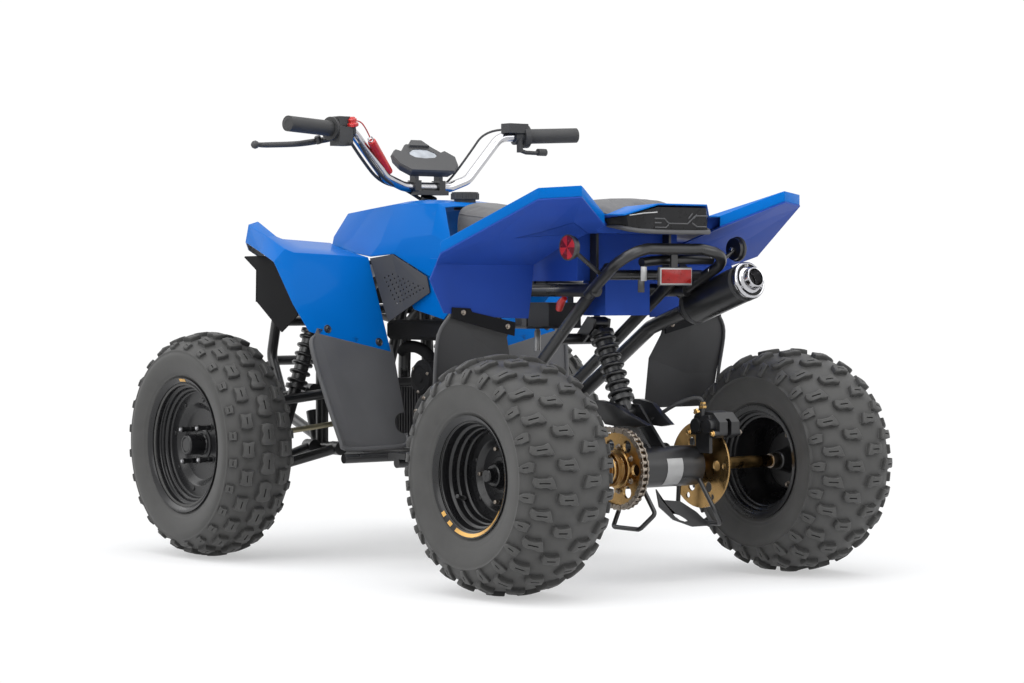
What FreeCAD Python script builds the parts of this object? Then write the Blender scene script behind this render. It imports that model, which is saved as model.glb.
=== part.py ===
import FreeCAD, Part
import math
import os

import Sketcher
from FreeCAD import Placement, Rotation, Vector

# Youth quad bike: two-arm front suspension, rigid chain-driven rear axle.
# X forward, Y left, Z up, millimetres; the origin lies on the ground, mid-length.
# Lengths marked "aft" run forward from the rear axle, "fwd" from the front axle.

doc = FreeCAD.newDocument("QuadBike")
sheet = doc.addObject("Spreadsheet::Sheet", "Sizes")


class Size:
    """A length that carries the sheet expression which gives it."""

    def __init__(self, value, text):
        self.value = value
        self.text = text

    def __float__(self):
        return float(self.value)

    def _with(self, other, sign, value):
        other_text = other.text if isinstance(other, Size) else repr(other)
        return Size(value, f"({self.text} {sign} {other_text})")

    def __add__(self, other):
        return self._with(other, "+", float(self) + float(other))

    def __sub__(self, other):
        return self._with(other, "-", float(self) - float(other))

    def __mul__(self, other):
        return self._with(other, "*", float(self) * float(other))

    def __truediv__(self, other):
        return self._with(other, "/", float(self) / float(other))

    def __neg__(self):
        return Size(-float(self), f"(0 - {self.text})")

    def __radd__(self, other):
        return Size(float(other) + float(self), f"({other!r} + {self.text})")

    def __rsub__(self, other):
        return Size(float(other) - float(self), f"({other!r} - {self.text})")

    def __rmul__(self, other):
        return Size(float(other) * float(self), f"({other!r} * {self.text})")


class Sizes:
    """Names of the sheet's cells, read as Size values."""

    def __init__(self, cells):
        self.known = {}
        for row, (name, value) in enumerate(cells.items(), 1):
            sheet.set(f"A{row}", name.replace("_", " "))
            sheet.set(f"B{row}", str(value))
            sheet.setAlias(f"B{row}", name)
            self.known[name] = Size(value, f"Sizes.{name}")

    def __getattr__(self, name):
        return self.known[name]


SIZES = {
    # Layout of the axles
    "rear_axle_x": -518,
    "wheelbase": 980,
    # Rear wheels
    "rear_tyre_diameter": 456,
    "rear_tyre_width": 206,
    "rear_wheel_y": 360,
    "rear_rim_flange": 231,
    "rear_rim_seat": 203,
    "rear_rim_width": 182,
    "rear_disc_y": 372,
    # Front wheels
    "front_tyre_diameter": 484,
    "front_tyre_width": 164,
    "front_wheel_y": 420,
    "front_rim_flange": 290,
    "front_rim_seat": 254,
    "front_rim_width": 142,
    "front_disc_y": 437,
    "spindle_diameter": 22,
    # Tread and rim sections
    "lug_height": 11,
    "rim_wall": 4,
    "flange_lip": 5,
    "bead_clearance": 0.3,
    "rear_lug_pitches": 12,
    "front_lug_pitches": 12,
    # Rear axle, chain drive and brake
    "axle_diameter": 24,
    "hub_diameter": 52,
    "hub_flange": 136,
    "hub_thickness": 8,
    "chain_y": 86,
    "chain_pitch": 12.7,
    "rear_teeth": 37,
    "front_teeth": 14,
    "sprocket_thickness": 6,
    "chain_width": 16,
    "chain_plate": 12,
    "front_sprocket_aft": 500,
    "front_sprocket_z": 270,
    "disc_y": -122,
    "disc_diameter": 172,
    "disc_thickness": 4,
    "carrier_diameter": 80,
    "carrier_left": 68,
    "carrier_right": -100,
    "running_gap": 0.05,
    # Swingarm and rear shock
    "pivot_aft": 412,
    "pivot_z": 268,
    "pivot_diameter": 34,
    "arm_diameter": 30,
    "arm_spread": 47,
    "shock_low_aft": 85,
    "shock_low_z": 332,
    "shock_top_aft": 172,
    "shock_top_z": 508,
    "spring_diameter": 50,
    "spring_wire": 7,
    "spring_pitch": 18,
    # Frame tubes
    "rail_diameter": 28,
    "rail_y": 112,
    "rail_z": 222,
    "seat_rail_y": 88,
    "seat_rail_z": 598,
    "stay_diameter": 24,
    "loop_diameter": 22,
    # Front suspension and steering geometry
    "kingpin_low_fwd": -15,
    "kingpin_low_y": 372,
    "kingpin_low_z": 168,
    "kingpin_top_fwd": -25,
    "kingpin_top_y": 360,
    "kingpin_top_z": 322,
    "lower_mount_z": 226,
    "upper_mount_z": 350,
    "mount_y": 141.3,
    "arm_tube": 22,
    "arm_rear_fwd": -74,
    "arm_front_fwd": 30,
    "front_spring_diameter": 46,
    "column_top_fwd": -230,
    "column_top_z": 790,
    "column_foot_fwd": -40,
    "column_foot_z": 330,
    "column_diameter": 24,
    "pitman_length": 58,
    "tie_rod_outer_fwd": -98,
    "tie_rod_outer_y": 350,
    "tie_rod_outer_z": 262,
    "tie_rod_diameter": 12,
    "ball_clearance": 6,
    "joint_gap": 0.3,
    # Handlebar
    "bar_diameter": 22,
    "bar_clamp_z": 797,
    "bar_grip_z": 920,
    "bar_bend_y": 197,
    "bar_end_y": 380,
    "pod_width": 174,
    "pod_depth": 22,
    "lanyard_diameter": 19,
    "cable_diameter": 7,
    "grip_diameter": 33,
    "grip_length": 118,
    # Seat and bodywork
    "deck_z": 688,
    "panel_wall": 3,
    "lip_height": 21,
    "wing_tip_y": 408,
    "flank_x": 200,
    "flank_crease_z": 626,
    "tub_half_width": 128,
    "fuel_cap_diameter": 60,
    "side_reflector_diameter": 50,
    "guard_drop": 114,
    # Exhaust
    "muffler_y": -160,
    "muffler_diameter": 74,
}
d = Sizes(SIZES)


def aft(x, y, z):
    """A point whose X is measured forward from the rear axle."""
    return Vector(float(d.rear_axle_x) + float(x), float(y), float(z))


def fwd(x, y, z):
    """A point whose X is measured forward from the front axle."""
    return Vector(float(d.rear_axle_x + d.wheelbase) + float(x), float(y), float(z))


def flip(point):
    """The same point on the other side of the bike."""
    return Vector(point.x, -point.y, point.z)


def bind(thing, **expressions):
    """Ties properties to the sheet; a plain number is set as it is."""
    for name, value in expressions.items():
        if isinstance(value, Size):
            thing.setExpression(name, value.text)
        else:
            setattr(thing, name, value)


def place(thing, x=0, y=0, z=0, rotation=None):
    """Puts a piece at a point whose coordinates may come from the sheet."""
    thing.Placement = Placement(Vector(float(x), float(y), float(z)), rotation or Rotation())
    for axis, value in (("x", x), ("y", y), ("z", z)):
        if isinstance(value, Size):
            thing.setExpression(f"Placement.Base.{axis}", value.text)
    return thing


def sketch_in(body, plane, corners, name="Profile"):
    """A closed profile in a body, each corner held by its two distances from the origin."""
    sketch = body.newObject("Sketcher::SketchObject", name)
    origin_plane = [f for f in body.Origin.OriginFeatures if f.Role == plane][0]
    sketch.AttachmentSupport = [(origin_plane, "")]
    sketch.MapMode = "FlatFace"
    points = [Vector(float(a), float(b), 0) for a, b in corners]
    count = len(points)
    lines = [Part.LineSegment(points[i], points[(i + 1) % count]) for i in range(count)]
    sketch.addGeometry(lines, False)
    for i in range(count):
        sketch.addConstraint(Sketcher.Constraint("Coincident", i, 2, (i + 1) % count, 1))
    for i, (a, b) in enumerate(corners):
        for kind, value in (("DistanceX", a), ("DistanceY", b)):
            index = sketch.addConstraint(Sketcher.Constraint(kind, i, 1, float(value)))
            if isinstance(value, Size):
                sketch.setExpression(f"Constraints[{index}]", value.text)
    return sketch


def revolved(label, corners):
    """A body turned about its own Y axis; corners are (radius, place along Y)."""
    body = doc.addObject("PartDesign::Body", label)
    sketch = sketch_in(body, "XY_Plane", corners)
    turned = body.newObject("PartDesign::Revolution", label + "_turned")
    turned.Profile = sketch
    turned.ReferenceAxis = (sketch, ["V_Axis"])
    turned.Angle = 360
    body.Tip = turned
    return body


def feature(label, shape, x=0, y=0, z=0):
    """A piece whose shape is set from the sizes, then placed."""
    piece = doc.addObject("Part::Feature", label)
    piece.Shape = shape
    return place(piece, x, y, z)


def joined(label, kind, pieces, prop):
    """A boolean or compound over other pieces."""
    result = doc.addObject(kind, label)
    setattr(result, prop, pieces)
    return result


def mirrored(label, source):
    """The right-hand copy of a left-hand piece."""
    copy = doc.addObject("Part::Mirroring", label)
    copy.Source = source
    copy.Normal = Vector(0, 1, 0)
    return copy


def rod(start, end, diameter):
    """A straight round bar between two points."""
    span = end - start
    return Part.makeCylinder(float(diameter) / 2, span.Length, start, span)


def tube(points, diameter, bend):
    """A round bar along straight runs joined by arcs of one bend radius."""
    edges = []
    start = points[0]
    for before, corner, after in zip(points, points[1:], points[2:]):
        along, onward = (corner - before).normalize(), (after - corner).normalize()
        turn = along.getAngle(onward)
        reach = float(bend) * math.tan(turn / 2)
        inward = (onward - along).normalize()
        middle = corner + inward * (float(bend) / math.cos(turn / 2) - float(bend))
        arc_start, arc_end = corner - along * reach, corner + onward * reach
        edges.append(Part.LineSegment(start, arc_start).toShape())
        edges.append(Part.Arc(arc_start, middle, arc_end).toShape())
        start = arc_end
    edges.append(Part.LineSegment(start, points[-1]).toShape())
    path = Part.Wire(edges)
    heading = points[1] - points[0]
    ring = Part.Wire(Part.makeCircle(float(diameter) / 2, points[0], heading))
    return path.makePipeShell([ring], True, False)


def fuse(shapes):
    """One solid out of overlapping shapes."""
    return shapes[0].multiFuse(shapes[1:]).removeSplitter() if len(shapes) > 1 else shapes[0]


def both_sides(shape):
    """A left-hand shape and its mirror image."""
    return [shape, shape.mirror(Vector(0, 0, 0), Vector(0, 1, 0))]


def prism(outline, depth):
    """A flat outline swept along a vector."""
    return Part.Face(Part.makePolygon(outline + [outline[0]])).extrude(depth)


def block(low, high):
    """An upright box between two opposite corners."""
    size = high - low
    return Part.makeBox(size.x, size.y, size.z, low)


def grid_normal(grid, i, j):
    """The mean normal of the panel about one of its stations."""
    rows, columns = len(grid), len(grid[0])
    across = grid[i][min(j + 1, columns - 1)] - grid[i][max(j - 1, 0)]
    along = grid[min(i + 1, rows - 1)][j] - grid[max(i - 1, 0)][j]
    return across.cross(along).normalize()


def panel(grid, wall):
    """A moulded sheet over a grid of stations, thickened to one side."""
    rows, columns = len(grid), len(grid[0])
    inner = [[grid[i][j] + grid_normal(grid, i, j) * float(wall) for j in range(columns)]
             for i in range(rows)]
    faces = []

    def patch(a, b, c, e):
        """Two flat facets, or one where the four corners lie in a plane."""
        for corners in ((a, b, c), (a, c, e)):
            faces.append(Part.Face(Part.makePolygon(list(corners) + [corners[0]])))

    for i in range(rows - 1):
        for j in range(columns - 1):
            patch(grid[i][j], grid[i][j + 1], grid[i + 1][j + 1], grid[i + 1][j])
            patch(inner[i][j], inner[i + 1][j], inner[i + 1][j + 1], inner[i][j + 1])
    rim = [(0, j) for j in range(columns)] + [(i, columns - 1) for i in range(1, rows)]
    rim += [(rows - 1, j) for j in range(columns - 2, -1, -1)] + [(i, 0) for i in range(rows - 2, 0, -1)]
    for (i, j), (k, m) in zip(rim, rim[1:] + rim[:1]):
        patch(grid[i][j], inner[i][j], inner[k][m], grid[k][m])
    shell = Part.makeShell(faces)
    shell.sewShape()
    solid = Part.Solid(shell)
    if solid.Volume < 0:
        solid.reverse()
    return solid.removeSplitter()


NODES = []


def node(piece):
    """Marks a finished sub-part for writing."""
    NODES.append(piece)
    return piece


# Wheels


def wheel_profiles(flange, seat, width, wall, lip):
    """Rim barrel section, as (radius, along Y) from the wheel's middle plane."""
    half = width / 2
    drop = seat / 2 - 14
    return [
        (flange / 2, half), (flange / 2, half - lip), (seat / 2, half - lip - 4),
        (seat / 2, half - lip - 22), (drop, half - lip - 34), (drop, -half + lip + 34),
        (seat / 2, -half + lip + 22), (seat / 2, -half + lip + 4), (flange / 2, -half + lip),
        (flange / 2, -half), (seat / 2 - wall, -half), (seat / 2 - wall, -half + lip + 22),
        (drop - wall, -half + lip + 34), (drop - wall, half - lip - 34),
        (seat / 2 - wall, half - lip - 22), (seat / 2 - wall, half)]


def tyre_profile(tyre, width, seat, flange, rim_width, lug, lip, gap):
    """Carcass section under the lugs, round-shouldered, with beads inside the flanges."""
    outer = tyre / 2 - lug
    half = width / 2
    bead = rim_width / 2 - lip - gap
    bore = seat / 2 + gap
    side = outer - bore
    left_half = [
        (outer, half - 50), (bore + side * 0.82, half - 14), (bore + side * 0.58, half), (flange / 2, bead),
        (bore, bead - 4)]
    right_half = [(radius, -across) for radius, across in reversed(left_half)]
    return right_half + left_half


def faceted_ring(profile, facets):
    """A ring of flat facets round Y, the middles of its facets at the profile's radii."""
    spread = 1 / math.cos(math.pi / facets)
    rings = []
    for index in range(facets):
        turn = 2 * math.pi * (index + 0.5) / facets
        rings.append([Vector(math.sin(turn) * float(r) * spread, float(y), math.cos(turn) * float(r) * spread)
                      for r, y in profile])
    faces = []
    for index, ring in enumerate(rings):
        previous = rings[index - 1]
        for corner in range(len(profile)):
            quad = [previous[corner - 1], previous[corner], ring[corner], ring[corner - 1]]
            faces.append(Part.Face(Part.makePolygon(quad + quad[:1])))
    shell = Part.makeShell(faces)
    shell.sewShape()
    solid = Part.makeSolid(shell)
    if solid.Volume < 0:
        solid.reverse()
    return solid


def lug_prism(radius, outline):
    """A lug's blank: outline of (along the tread, across it) raised through the crown."""
    low = float(radius) * 0.8
    corners = [Vector(a, b, 0) for a, b in outline]
    face = Part.Face(Part.makePolygon(corners + [corners[0]]))
    blank = face.extrude(Vector(0, 0, float(radius) * 0.3))
    blank.translate(Vector(0, 0, low))
    return blank


def tread(tyre, width, outlines, pitches):
    """Lugs round the tyre: blanks cut to the crown of the outer tread."""
    outer = float(tyre) / 2
    half = float(width) / 2
    side = [(outer, half - 50), (outer - 22, half - 8), (outer - 44, half)]
    crown = [(r, -y) for r, y in reversed(side)] + side
    under = [(outer - 60, half - 16), (outer - 60, -half + 16)]
    count = int(float(pitches))
    band = faceted_ring(crown + under, 2 * count)
    blanks = []
    for index in range(count):
        for shift, outline in outlines:
            blank = lug_prism(outer, outline)
            angle = 360 * (index + shift) / count
            # The bottom of the tyre carries a centre lug at index 0
            blank.rotate(Vector(), Vector(0, 1, 0), 180 + angle)
            blanks.append(blank)
    return band.common(Part.makeCompound(blanks))


def block_outline(length, inner, outer, skew=0):
    """A tapered lug: across the tread from inner to outer, skewed along it."""
    half = length / 2
    return [(-half, inner), (-half + skew, outer), (half + skew, outer), (half, inner)]


def shoulders(outline):
    """A shoulder lug and its mirror image, half a pitch from the middle row."""
    mirror_image = [(along, -across) for along, across in reversed(outline)]
    return [(0.5, outline), (0.5, mirror_image)]


def rear_tread():
    """A wide middle row and, half a pitch on, lugs that wrap both shoulders."""
    return [(0, block_outline(38, -42, 42, 8))] + shoulders(block_outline(32, 56, 110, -6))


def front_tread():
    """A middle row of lugs with longer shoulder lugs between them."""
    return [(0, block_outline(44, -26, 26, -4))] + shoulders(block_outline(32, 34, 90, 5))


def tyre(label, profile, lugs, pitches):
    carcass = feature(label + "_carcass", faceted_ring(profile, 2 * int(float(pitches))))
    blocks = feature(label + "_lugs", lugs)
    return joined(label, "Part::MultiFuse", [carcass, blocks], "Shapes")


def rear_wheel():
    """Left rear tyre and rim, about the axle's middle."""
    z = d.rear_tyre_diameter / 2
    profile = tyre_profile(d.rear_tyre_diameter, d.rear_tyre_width, d.rear_rim_seat,
                           d.rear_rim_flange, d.rear_rim_width, d.lug_height, d.flange_lip, d.bead_clearance)
    lugs = tread(d.rear_tyre_diameter, d.rear_tyre_width, rear_tread(), d.rear_lug_pitches)
    rubber = tyre("rear_tyre_left", profile, lugs, d.rear_lug_pitches)
    place(rubber, d.rear_axle_x, d.rear_wheel_y, z)
    barrel = revolved("rear_barrel", wheel_profiles(d.rear_rim_flange, d.rear_rim_seat,
                                                    d.rear_rim_width, d.rim_wall, d.flange_lip))
    drop = d.rear_rim_seat / 2 - 14 - d.rim_wall / 2
    face = d.rear_disc_y - d.rear_wheel_y
    dish = revolved("rear_dish", [
        (d.axle_diameter / 2 + d.running_gap, face - 4), (d.hub_flange / 2 - 4, face - 4),
        (d.hub_flange / 2 + 4, face + 6), (drop, face + 6), (drop, face + 10),
        (d.hub_flange / 2, face + 10), (d.hub_flange / 2 - 8, face),
        (d.axle_diameter / 2 + d.running_gap, face)])
    rim = joined("rear_rim_left", "Part::MultiFuse", [barrel, dish], "Shapes")
    place(rim, d.rear_axle_x, d.rear_wheel_y, z)
    return rubber, rim


def front_wheel():
    """Left front tyre and rim."""
    z = d.front_tyre_diameter / 2
    x = d.rear_axle_x + d.wheelbase
    profile = tyre_profile(d.front_tyre_diameter, d.front_tyre_width, d.front_rim_seat,
                           d.front_rim_flange, d.front_rim_width, d.lug_height, d.flange_lip,
                           d.bead_clearance)
    lugs = tread(d.front_tyre_diameter, d.front_tyre_width, front_tread(), d.front_lug_pitches)
    rubber = tyre("front_tyre_left", profile, lugs, d.front_lug_pitches)
    place(rubber, x, d.front_wheel_y, z)
    barrel = revolved("front_barrel", wheel_profiles(d.front_rim_flange, d.front_rim_seat,
                                                     d.front_rim_width, d.rim_wall, d.flange_lip))
    drop = d.front_rim_seat / 2 - 14 - d.rim_wall / 2
    face = d.front_disc_y - d.front_wheel_y
    bore = d.spindle_diameter / 2 + d.running_gap
    dish = revolved("front_dish", [
        (bore, face - 4), (d.hub_flange / 2, face - 4), (drop, face + 8), (drop, face + 12),
        (d.hub_flange / 2, face), (30, face), (30, face + 43), (bore, face + 43)])
    rim = joined("front_rim_left", "Part::MultiFuse", [barrel, dish], "Shapes")
    place(rim, x, d.front_wheel_y, z)
    return rubber, rim


for left_piece in rear_wheel() + front_wheel():
    node(left_piece)
    node(mirrored(left_piece.Label.replace("_left", "_right"), left_piece))

# Rear axle


def rear_axle():
    z = d.rear_tyre_diameter / 2
    end = d.rear_disc_y + 38
    shaft = doc.addObject("Part::Cylinder", "axle_shaft")
    bind(shaft, Radius=d.axle_diameter / 2, Height=end * 2)
    place(shaft, d.rear_axle_x, -end, z, Rotation(Vector(1, 0, 0), -90))
    hubs = []
    for side, name in ((1, "left"), (-1, "right")):
        inner = d.rear_disc_y - 4
        hub = revolved("hub_" + name, [
            (d.axle_diameter / 2 - 1, inner * side), (d.hub_flange / 2 - 8, inner * side),
            (d.hub_flange / 2 - 8, (inner - d.hub_thickness) * side),
            (d.hub_diameter / 2, (inner - d.hub_thickness) * side),
            (d.hub_diameter / 2 - 6, (inner - 40) * side), (d.axle_diameter / 2 - 1, (inner - 40) * side)])
        place(hub, d.rear_axle_x, 0, z)
        hubs.append(hub)
    return joined("rear_axle", "Part::MultiFuse", [shaft] + hubs, "Shapes")


node(rear_axle())


def sprocket_outline(teeth, pitch, tooth=0.6, root=4.3):
    """Toothed edge: a valley under each roller and a tip between."""
    radius = pitch / 2 / math.sin(math.pi / teeth)
    points = []
    for index in range(teeth):
        for share, height in ((0.0, -root), (0.28, -root + 2), (0.46, tooth), (0.54, tooth), (0.72, -root + 2)):
            angle = 2 * math.pi * (index + share) / teeth
            points.append(Vector((radius + height) * math.cos(angle), 0, (radius + height) * math.sin(angle)))
    return points


def rear_sprocket():
    radius = float(d.chain_pitch) / 2 / math.sin(math.pi / float(d.rear_teeth))
    thick = float(d.sprocket_thickness)
    plate = prism(sprocket_outline(int(float(d.rear_teeth)), float(d.chain_pitch)), Vector(0, thick, 0))
    plate.translate(Vector(0, -thick / 2, 0))
    cuts = []
    for index in range(6):
        angle = math.radians(60 * index)
        centre = Vector(radius * 0.68 * math.cos(angle), -20, radius * 0.68 * math.sin(angle))
        cuts.append(Part.makeCylinder(radius * 0.16, 40, centre, Vector(0, 1, 0)))
    plate = plate.cut(Part.makeCompound(cuts))
    half = float(d.sprocket_thickness) / 2
    hub = Part.makeCylinder(27, 44 - half, Vector(0, 0, 0), Vector(0, 1, 0))
    hub = hub.fuse(Part.makeCylinder(34, 8, Vector(0, 22, 0), Vector(0, 1, 0)))
    bore = Part.makeCylinder(float(d.axle_diameter) / 2, 200, Vector(0, -100, 0), Vector(0, 1, 0))
    shape = plate.fuse(hub).cut(bore).removeSplitter()
    return feature("rear_sprocket", shape, d.rear_axle_x, d.chain_y, d.rear_tyre_diameter / 2)


def brake_disc():
    radius = float(d.disc_diameter) / 2
    thick = float(d.disc_thickness)
    plate = Part.makeCylinder(radius, thick, Vector(0, -thick / 2, 0), Vector(0, 1, 0))
    cuts = []
    for index in range(6):
        angle = math.radians(60 * index)
        along = Vector(math.cos(angle), 0, math.sin(angle))
        for share, hole in ((0.84, 0.07), (0.58, 0.12)):
            middle = along * radius * share - Vector(0, 10, 0)
            cuts.append(Part.makeCylinder(radius * hole, 20, middle, Vector(0, 1, 0)))
    plate = plate.cut(Part.makeCompound(cuts))
    hub = Part.makeCylinder(30, 34, Vector(0, -34, 0), Vector(0, 1, 0))
    bore = Part.makeCylinder(float(d.axle_diameter) / 2, 200, Vector(0, -100, 0), Vector(0, 1, 0))
    shape = plate.fuse(hub).cut(bore).removeSplitter()
    return feature("brake_disc", shape, d.rear_axle_x, d.disc_y, d.rear_tyre_diameter / 2)


node(rear_sprocket())
node(brake_disc())

# Chain, as a closed band of links


def chain():
    """Side plates as two bands with a row of rollers between them, wound round both sprockets."""
    pitch = float(d.chain_pitch)
    rear_radius = pitch / 2 / math.sin(math.pi / float(d.rear_teeth))
    front_radius = pitch / 2 / math.sin(math.pi / float(d.front_teeth))
    z_rear = float(d.rear_tyre_diameter) / 2
    span_x, span_z = float(d.front_sprocket_aft), float(d.front_sprocket_z) - z_rear
    span = math.hypot(span_x, span_z)
    lean = math.atan2(span_z, span_x)
    open_angle = math.acos((rear_radius - front_radius) / span)

    def around(offset):
        """Closed outline at an offset from the pitch line."""
        points = []
        for centre, radius, first, last in (((0, 0), rear_radius, open_angle, 2 * math.pi - open_angle),
                                            ((span, 0), front_radius, -open_angle, open_angle)):
            steps = 18 if radius == rear_radius else 8
            for k in range(steps + 1):
                angle = first + (last - first) * k / steps
                points.append((centre[0] + (radius + offset) * math.cos(angle),
                               centre[1] + (radius + offset) * math.sin(angle)))
        corners = [Vector(x * math.cos(lean) - z * math.sin(lean), 0, x * math.sin(lean) + z * math.cos(lean))
                   for x, z in points]
        return Part.Face(Part.makePolygon(corners + [corners[0]]))

    half_plate = float(d.chain_plate) / 2
    ring = around(half_plate).cut(around(-half_plate))
    gap = float(d.sprocket_thickness) + 3
    side = (float(d.chain_width) - gap) / 2
    plates = []
    for start in (-float(d.chain_width) / 2, gap / 2):
        band = ring.extrude(Vector(0, side, 0))
        band.translate(Vector(0, start, 0))
        plates.append(band)
    rollers = around(5).cut(around(1.2)).extrude(Vector(0, gap, 0))
    rollers.translate(Vector(0, -gap / 2, 0))
    return feature("chain", fuse(plates + [rollers]), d.rear_axle_x, d.chain_y, z_rear)


# Frame


def frame_lower():
    """Twin lower rails, cross tubes and the swingarm pivot plates."""
    y, z = float(d.rail_y), float(d.rail_z)
    rail = tube([aft(d.pivot_aft + 4, y, z), fwd(46, y, z), fwd(70, y, z + 80)], d.rail_diameter, 40)
    parts = both_sides(rail)
    parts.append(rod(aft(d.pivot_aft + 8, -y, z - 18), aft(d.pivot_aft + 8, y, z - 18), d.rail_diameter - 4))
    parts.append(rod(aft(640, -y, z), aft(640, y, z), d.rail_diameter))
    parts.append(rod(fwd(d.arm_front_fwd, -y, z), fwd(d.arm_front_fwd, y, z), d.rail_diameter - 4))
    pivot_x, pivot_z = float(d.pivot_aft), float(d.pivot_z)
    plate = prism([aft(pivot_x - 26, 55, pivot_z + 70), aft(pivot_x - 30, 55, pivot_z),
                   aft(pivot_x - 6, 55, z - 22), aft(pivot_x + 22, 55, z - 22),
                   aft(pivot_x + 28, 55, pivot_z + 40), aft(pivot_x + 4, 55, pivot_z + 80)], Vector(0, 6, 0))
    parts += both_sides(plate)
    parts.append(rod(aft(pivot_x, -60, pivot_z), aft(pivot_x, 60, pivot_z), 16))
    return feature("frame_lower", fuse(parts))


def frame_upper():
    """Seat rails from the steering head back to the grab loop."""
    y, z = float(d.seat_rail_y), float(d.seat_rail_z)
    rail = tube([fwd(0, y, z - 120), fwd(-150, y, z), aft(560, y, z + 6), aft(300, y + 8, z - 24),
                 aft(34, y + 28, z - 24)], d.rail_diameter - 2, 90)
    parts = both_sides(rail)
    for x, height in ((-150, 0), (-404, 4)):
        parts.append(rod(fwd(x, -y, z + height), fwd(x, y, z + height), d.rail_diameter - 6))
    parts.append(rod(aft(300, -y - 8, z - 24), aft(300, y + 8, z - 24), d.rail_diameter - 6))
    high = float(d.deck_z) - float(d.panel_wall)
    for x, low in ((60, z - 24), (260, z - 24)):
        parts += both_sides(block(aft(x, y + 2, low), aft(x + 24, y + 8, high)))
    parts += both_sides(block(aft(430, y - 20, z - 10), aft(454, y - 14, float(d.deck_z))))
    for x in (284, 372):
        parts += both_sides(block(aft(x, y + 4, 500), aft(x + 16, y + 8, z - 20)))
    foot, axis, _ = column_axis()
    collar = foot + axis * ((z - foot.z) / axis.z)
    parts.append(rod(collar - axis * 20, collar + axis * 20, 44))
    return feature("frame_upper", fuse(parts).cut(column_bore()).cut(REAR_LOOP))


def frame_front():
    """Front box of the frame, with the arm mounts and the lower steering bearing."""
    z, y, wide = float(d.rail_z), float(d.rail_y), float(d.rail_diameter)
    rear_x, front_x, seat_y = float(d.arm_rear_fwd) + 10, float(d.arm_front_fwd), float(d.seat_rail_y)
    upright = tube([fwd(rear_x, y, z), fwd(rear_x, y, z + 170), fwd(rear_x - 20, seat_y, z + 330)], wide, 60)
    front_upright = tube([fwd(front_x, y, z), fwd(front_x, y, z + 170), fwd(-8, seat_y, z + 256)], wide, 40)
    parts = both_sides(upright) + both_sides(front_upright)
    for x, height in ((rear_x, 128), (front_x, 128)):
        parts.append(rod(fwd(x, -y, z + height), fwd(x, y, z + height), 20))
    parts.append(rod(fwd(-22, -178, 530), fwd(-22, 178, 530), 22))
    for x in (rear_x, front_x):
        parts.append(rod(fwd(x, -y, z + 260), fwd(-22, -y, 530), 16))
        parts.append(rod(fwd(x, y, z + 260), fwd(-22, y, 530), 16))
    foot, axis, _ = column_axis()
    collar = foot + axis * 40
    parts.append(rod(fwd(rear_x, -y, collar.z), fwd(rear_x, y, collar.z), 20))
    parts.append(rod(collar - axis * 16, collar + axis * 16, 44))
    # Saddles that the tie rods swing into at full lock
    saddle = rod(fwd(-81, 60, 287), fwd(-81, 170, 279), d.tie_rod_diameter * 2)
    shape = fuse(parts).cut(column_bore()).cut(Part.makeCompound(both_sides(saddle)))
    for other in (FRAME_LOWER, FRAME_UPPER):
        shape = shape.cut(other)
    return feature("frame_front", shape)


def column_axis():
    """Foot of the steering shaft, its direction upwards and its length."""
    top = fwd(d.column_top_fwd, 0, d.column_top_z)
    foot = fwd(d.column_foot_fwd, 0, d.column_foot_z)
    return foot, (top - foot).normalize(), (top - foot).Length


def column_bore():
    """The bearing hole in which the steering shaft turns."""
    foot, axis, length = column_axis()
    return rod(foot - axis * 20, foot + axis * length, d.column_diameter + d.running_gap * 2)


def rear_loop():
    """Grab loop behind the seat with its stays to the pivot plates."""
    loop = tube([aft(60, 116, 566), aft(-74, 140, 640), aft(-62, 70, 654), aft(-62, -70, 654),
                 aft(-74, -140, 640), aft(60, -116, 566)], d.loop_diameter, 40)
    stay_top, stay_foot = aft(20, 96, 618), aft(d.pivot_aft - 14, 58, d.pivot_z + 60)
    parts = [loop] + both_sides(rod(stay_foot, stay_top, d.stay_diameter))
    parts.append(rod(aft(6, -128, 604), aft(6, 128, 604), d.loop_diameter - 2))
    parts.append(rod(aft(204, -78, 476), aft(204, 78, 476), d.loop_diameter))
    eye_x, eye_z = float(d.shock_top_aft), float(d.shock_top_z)
    tab = prism([aft(214, 16, 468), aft(214, 16, 486), aft(eye_x + 8, 16, eye_z + 13),
                 aft(eye_x - 13, 16, eye_z + 8), aft(eye_x - 10, 16, eye_z - 10), aft(196, 16, 468)],
                Vector(0, 6, 0))
    parts += both_sides(tab)
    bracket = fuse([rod(aft(6, 128, 604), aft(-3, 206, 652), 9), rod(aft(-3, 205, 656), aft(-3, 213, 656), 44)])
    parts += both_sides(bracket)
    parts.append(block(aft(-62, -8, 592), aft(-58, 8, 650)))
    return feature("rear_loop", fuse(parts).cut(FRAME_LOWER))


def front_bumper():
    """Loop of tube ahead of the front wheels."""
    y = float(d.rail_y)
    loop = tube([fwd(60, y, 250), fwd(190, y - 10, 290), fwd(262, y - 14, 420), fwd(240, y - 20, 540),
                 fwd(10, y - 10, 500)], 24, 50)
    parts = both_sides(loop)
    for x, z in ((258, 410), (246, 500)):
        parts.append(rod(fwd(x, -y + 14, z), fwd(x, y - 14, z), 22))
    return feature("front_bumper", fuse(parts).cut(FRAME_LOWER).cut(FRAME_FRONT))


FRAME_LOWER = node(frame_lower()).Shape
REAR_LOOP = node(rear_loop()).Shape
FRAME_UPPER = node(frame_upper()).Shape
FRAME_FRONT = node(frame_front()).Shape
BUMPER = node(front_bumper()).Shape

# Rear suspension


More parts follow.
